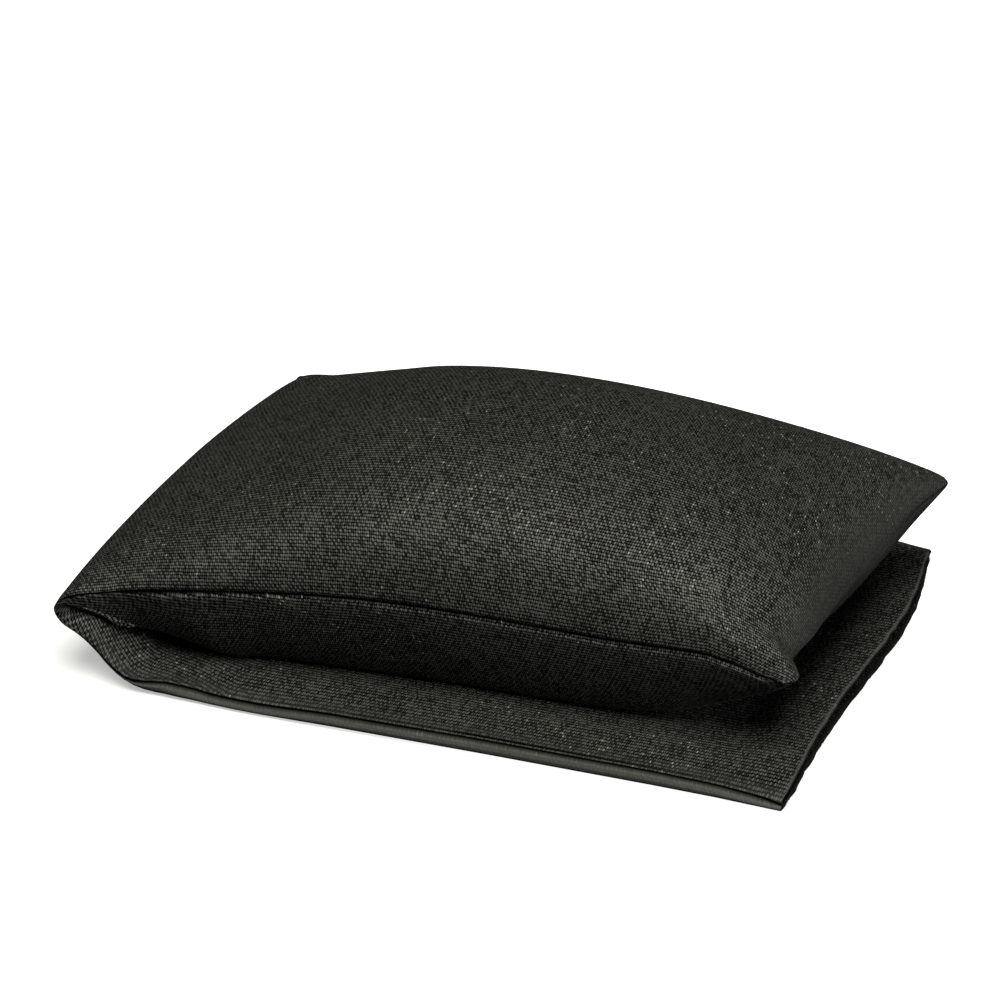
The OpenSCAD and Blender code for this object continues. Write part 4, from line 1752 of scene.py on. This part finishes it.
    def mouth_stitches(self) -> None:
        """The row of stitches that holds each hem, on the inside of the mouth."""
        shape = self.skin.shape
        reach = shape.half_w - self.stitch_ends
        y = np.linspace(-reach, reach, 80)
        x = shape.mouth_line(y) - shape.hem_w + self.stitch_inset
        low = np.stack([x, y, np.full_like(x, 2 * self.curl_r + self.thread_room)], -1)
        x = x - shape.lip_back - 1.0
        z = shape.flap_top(x, y) - 2 * self.curl_r - self.thread_room
        high = np.stack([x, y, z], -1)
        for label, path in (("lower", low), ("upper", high)):
            row = Scatter.stitches(f"{label}_hem_thread", path, *self.stitch_size, THREAD)
            settle(row, THREAD, "flap", f"{label}_hem_stitches")

    def fuzz(self) -> None:
        """Frayed threads at the mouth, and lint and loose fibres on the cloth."""
        skin = self.skin
        outer, inner = skin.layer(Ply.OUTER), skin.layer(Ply.INNER)
        last = skin.points.shape[0] - 1
        lip = skin.points[np.ix_(np.arange(last - 1, last + 1), outer[8:-8])].copy()
        lip[..., 0] += np.array([[0.2], [0.95]])
        lip[..., 2] += np.array([[0.5], [1.2]])
        MOUTH_FRAY.lay(lip)
        top = skin.points[np.ix_(np.arange(4, skin.cover_end - 2), outer[9:-5])]
        CROWN_FIBRES.lay(top)
        CROWN_LINT.lay(top)
        flap = skin.points[np.ix_(np.arange(skin.turn_end + 2, last - 4), inner[3:-3])]
        FLAP_LINT.lay(flap, flip=True)


@dataclass
class SeedPouch:
    """The loose cotton pouch and its seeds, in millimetres."""

    shape: SleeveShape
    length: float = 184.0
    first: float = 0.17
    last: float = 0.955
    sag: float = 3.0
    room: float = 0.6
    crown_room: float = 1.9
    travel: float = 5.0
    cotton_t: float = 0.6
    seam_room: float = 12.2
    steps: int = 64
    crease: float = 0.5
    cotton_fill: float = 0.75
    heap_fill: float = 0.9
    heap_room: float = 0.9
    closing_reach: float = 24.0
    stitch_size: tuple[float, float, float] = (0.006, 0.003, 0.0006)
    roof_offset: float = 0.5
    floor_offset: float = 0.7
    seed_l: float = 4.4
    seed_w: float = 2.2
    seed_t: float = 1.0

    def _limits(self, s: Grid, y: Grid) -> tuple[Grid, Grid]:
        """Floor and roof that the pouch keeps to at both ends of its travel."""
        shape = self.shape
        back = s - self.travel / self.length
        inset = shape.cloth_t
        roof = np.minimum(
            shape.top_z(s, y / shape.side(s)), shape.top_z(back, y / shape.side(back))
        )
        floor = np.maximum(
            shape.under_z(s, y / shape.side(s)), shape.under_z(back, y / shape.side(back))
        )
        return floor + inset + self.room, roof - inset - self.crown_room

    def _face(self, roof: bool, inset: float) -> tuple[Grid, Grid]:
        """Points of one panel and their flat places."""
        k = -np.cos(np.linspace(0, pi, self.steps + 1))
        v, t = k[:, None], k[None, :]
        half = (self.last - self.first) / 2 - inset / self.length
        s = (self.first + self.last) / 2 + v * half
        y = t * (self.shape.side(s) - self.seam_room - inset)
        middle = self.shape.seam_height(s) - self.sag
        limits = self._limits(s, y)
        limit = limits[1] - inset if roof else limits[0] + inset
        crease = self.crease * ripple(s * self.length, y, 31 + int(roof), 8, 16.0)
        crease = crease - self.crease
        edge = dome(t, 4, 0.5) * dome(v, 6, 0.5)
        z = middle + (limit - middle) * edge
        z = z + (crease if roof else -crease) * edge * dome(t, 2, 1) * 0.8
        y = y + 0 * s
        x = self.shape.fold_line(y) + s * (self.shape.end_line(y) - self.shape.fold_line(y))
        offset = self.roof_offset if roof else self.floor_offset
        uv = np.stack([s * self.length * MM + 0 * y, y * MM + offset], -1)
        return np.stack([x, y, z], -1), uv

    def build(self) -> None:
        """Build the pouch, its stitches and its seeds."""
        for roof, name, node in (
            (True, "pouch_top_cotton", "pouch_top_panel"),
            (False, "pouch_under_cotton", "pouch_under_panel"),
        ):
            outer, uv = self._face(roof, 0.0)
            inner, _ = self._face(roof, self.cotton_t)
            normals = unit(np.cross(np.gradient(outer, axis=0), np.gradient(outer, axis=1)))
            if not roof:
                normals = -normals
            piece = cloth_piece(name, outer, inner, uv, normals, COTTON, flip=not roof)
            settle(piece, COTTON, "insert", node)
        self._stitches()
        self._seeds()

    def _stitches(self) -> None:
        """Hand stitches that close the pouch at its end towards the fold."""
        y = np.linspace(-self.closing_reach, self.closing_reach, 40)
        s = np.full_like(y, self.first)
        x = self.shape.fold_line(y) + s * (self.shape.end_line(y) - self.shape.fold_line(y))
        path = np.stack([x - 0.3, y, self.shape.seam_height(s) - self.sag], -1)
        row = Scatter.stitches("pouch_closing_thread", path, *self.stitch_size, THREAD)
        settle(row, THREAD, "insert", "pouch_closing_stitches")

    def _seeds(self) -> None:
        """The fill: a packed heap with flat seeds lying all over it."""
        inset = self.cotton_t + self.heap_room
        roof, _ = self._face(True, inset)
        floor, _ = self._face(False, inset)
        rows, cols = roof.shape[:2]
        faces = grid_faces(rows, cols, 0, False, False)
        faces += grid_faces(rows, cols, rows * cols, True, False)
        points = np.concatenate([roof.reshape(-1, 3), floor.reshape(-1, 3)])
        heap = new_piece("seed_heap", points, faces)
        weld = heap.modifiers.new("weld", "WELD")
        weld.merge_threshold = 0.00005
        graph = bpy.context.evaluated_depsgraph_get()
        ground = add_object(
            "seed_ground", bpy.data.meshes.new_from_object(heap.evaluated_get(graph))
        )
        solid = bpy.data.meshes.new_from_object(heap.evaluated_get(graph))
        old = heap.data
        heap.modifiers.clear()
        heap.data = solid
        bpy.data.meshes.remove(old)
        heap.data.materials.append(SEED.material())
        settle(heap, SEED, "insert", "seed_fill")
        seeds = Scatter.over_faces(
            "flax_seeds", ground, self._seed(), 62000.0, (0.85, 1.1), 0.85, 25, SEED
        )
        settle(seeds, SEED, "insert")

    def _seed(self) -> bpy.types.Object:
        """One flat, pointed seed of a few dozen faces."""
        rings, sides = 5, 8
        k = np.linspace(0, pi, rings + 2)[1:-1]
        turn = np.linspace(0, 2 * pi, sides, endpoint=False)
        x = -self.seed_l / 2 * np.cos(k)[:, None] + 0 * turn
        taper = 1 - 0.25 * (x / (self.seed_l / 2) + 1) / 2
        y = self.seed_w / 2 * np.sin(k)[:, None] * np.cos(turn) * taper
        z = self.seed_t / 2 * np.sin(k)[:, None] * np.sin(turn)
        points = np.stack([x, y, z], -1).reshape(-1, 3)
        ends = np.array([[-self.seed_l / 2, 0, 0], [self.seed_l / 2, 0, 0]])
        faces = grid_faces(rings, sides, 0, True, True)
        last = rings * sides
        for j in range(sides):
            k2 = (j + 1) % sides
            faces.append((last, k2, j))
            faces.append((last + 1, last - sides + j, last - sides + k2))
        return new_piece("seed", np.concatenate([points, ends]), faces)


@dataclass(frozen=True)
class Lamp:
    """A square soft lamp, in metres and watts."""

    name: str
    place: tuple[float, float, float]
    size: float
    power: float
    tint: tuple[float, float, float] = (1.0, 1.0, 1.0)

    def hang(self, target: tuple[float, float, float]) -> None:
        """Add the lamp, facing a target."""
        data = bpy.data.lights.new(self.name, "AREA")
        data.shape = "SQUARE"
        data.size = self.size
        data.energy = self.power
        data.color = self.tint
        lamp = add_object(self.name, data)
        lamp.location = self.place
        aim = Vector(target) - Vector(self.place)
        lamp.rotation_euler = aim.to_track_quat("-Z", "Y").to_euler()


@dataclass
class Studio:
    """White floor, two soft lamps and the camera, in millimetres and degrees."""

    elevation: float = 30.97
    azimuth: float = 18.54
    distance: float = 1538.7
    target: tuple[float, float, float] = (-11.08, 22.93, 20.0)
    lens: float = 216.0
    sensor: float = 36.0
    world: float = 1.0
    floor_glow: tuple[float, float, float, float] = (0.015, 0.10, 0.45, 1.0)
    shadow_at: tuple[float, float, float] = (-0.081, -0.066, 0.0)
    floor_half: float = 4.0
    floor_drop: float = 0.0002
    lit_at: tuple[float, float, float] = (0.0, 0.0, 0.02)
    lamps: tuple[Lamp, ...] = (
        Lamp("key", (0.12, -0.60, 1.42), 0.9, 22.0, (1.0, 1.0, 0.90)),
        Lamp("right", (1.5, -0.14, 0.42), 0.8, 7.5),
    )

    def build(self) -> None:
        """Build the floor, the light and the camera."""
        self._floor()
        self._light()
        self._camera()
        view = bpy.context.scene.view_settings
        view.view_transform = "Standard"
        view.look = "None"

    def _floor(self) -> None:
        """Wide white floor that glows, less so where the turn's shadow falls."""
        h = self.floor_half / MM
        floor = new_piece(
            "floor", np.array([[-h, -h, 0], [h, -h, 0], [h, h, 0], [-h, h, 0]]), [(0, 1, 2, 3)]
        )
        floor.location.z = -self.floor_drop
        material, make, shader = start_material("floor_white")
        shader.inputs["Base Color"].default_value = (0.93, 0.93, 0.93, 1)
        shader.inputs["Roughness"].default_value = 0.95
        shader.inputs["Specular IOR Level"].default_value = 0.1
        shader.inputs["Emission Color"].default_value = (1, 1, 1, 1)
        distance = make.add("ShaderNodeVectorMath", operation="LENGTH")
        offset = make.add("ShaderNodeVectorMath", operation="SUBTRACT")
        make.feed(offset.inputs[0], make.add("ShaderNodeTexCoord").outputs["Object"])
        offset.inputs[1].default_value = self.shadow_at
        make.feed(distance.inputs[0], offset.outputs["Vector"])
        glow = make.add("ShaderNodeMapRange", interpolation_type="SMOOTHSTEP")
        make.feed(glow.inputs["Value"], distance.outputs["Value"])
        for label, value in zip(("From Min", "From Max", "To Min", "To Max"), self.floor_glow):
            glow.inputs[label].default_value = value
        make.feed(shader.inputs["Emission Strength"], glow.outputs["Result"])
        floor.data.materials.append(material)
        floor.visible_diffuse = False
        floor.visible_glossy = False

    def _light(self) -> None:
        """White surroundings, a key lamp above the front and a weaker one at the right."""
        world = bpy.data.worlds.new("white_room")
        bpy.context.scene.world = world
        world.use_nodes = True
        back = world.node_tree.nodes["Background"]
        back.inputs[0].default_value = (1, 1, 1, 1)
        back.inputs[1].default_value = self.world
        world.cycles_visibility.diffuse = False
        world.cycles_visibility.glossy = False
        for lamp in self.lamps:
            lamp.hang(self.lit_at)

    def _camera(self) -> None:
        """Camera at the photograph's viewing angle."""
        e, a = radians(self.elevation), radians(self.azimuth)
        back = Vector((sin(a) * cos(e), -cos(a) * cos(e), sin(e)))
        right = Vector((cos(a), sin(a), 0))
        up = back.cross(right)
        data = bpy.data.cameras.new("camera")
        data.lens = self.lens
        data.sensor_width = self.sensor
        data.sensor_fit = "HORIZONTAL"
        data.clip_end = 20
        camera = add_object("camera", data)
        turn = Matrix((right, up, back)).transposed().to_4x4()
        place = (Vector(self.target) + back * self.distance) * MM
        camera.matrix_world = Matrix.Translation(place) @ turn
        bpy.context.scene.camera = camera


def main() -> None:
    """Build the sleeve, the pouch and the studio."""
    logging.basicConfig(level=logging.INFO, format="%(name)s: %(message)s")
    shape = SleeveShape()
    skin = SleeveSkin(shape)
    moved = ClothRelaxer().run(skin)
    skin.points[: skin.cover_end + 1] += moved
    LOG.info("cover relaxed by up to %.1f mm", np.abs(moved).max())
    skin.seat_wave()
    skin.press_seams()
    Sleeve(skin).build()
    SeedPouch(shape).build()
    Studio().build()


if __name__ == "__main__":
    main()
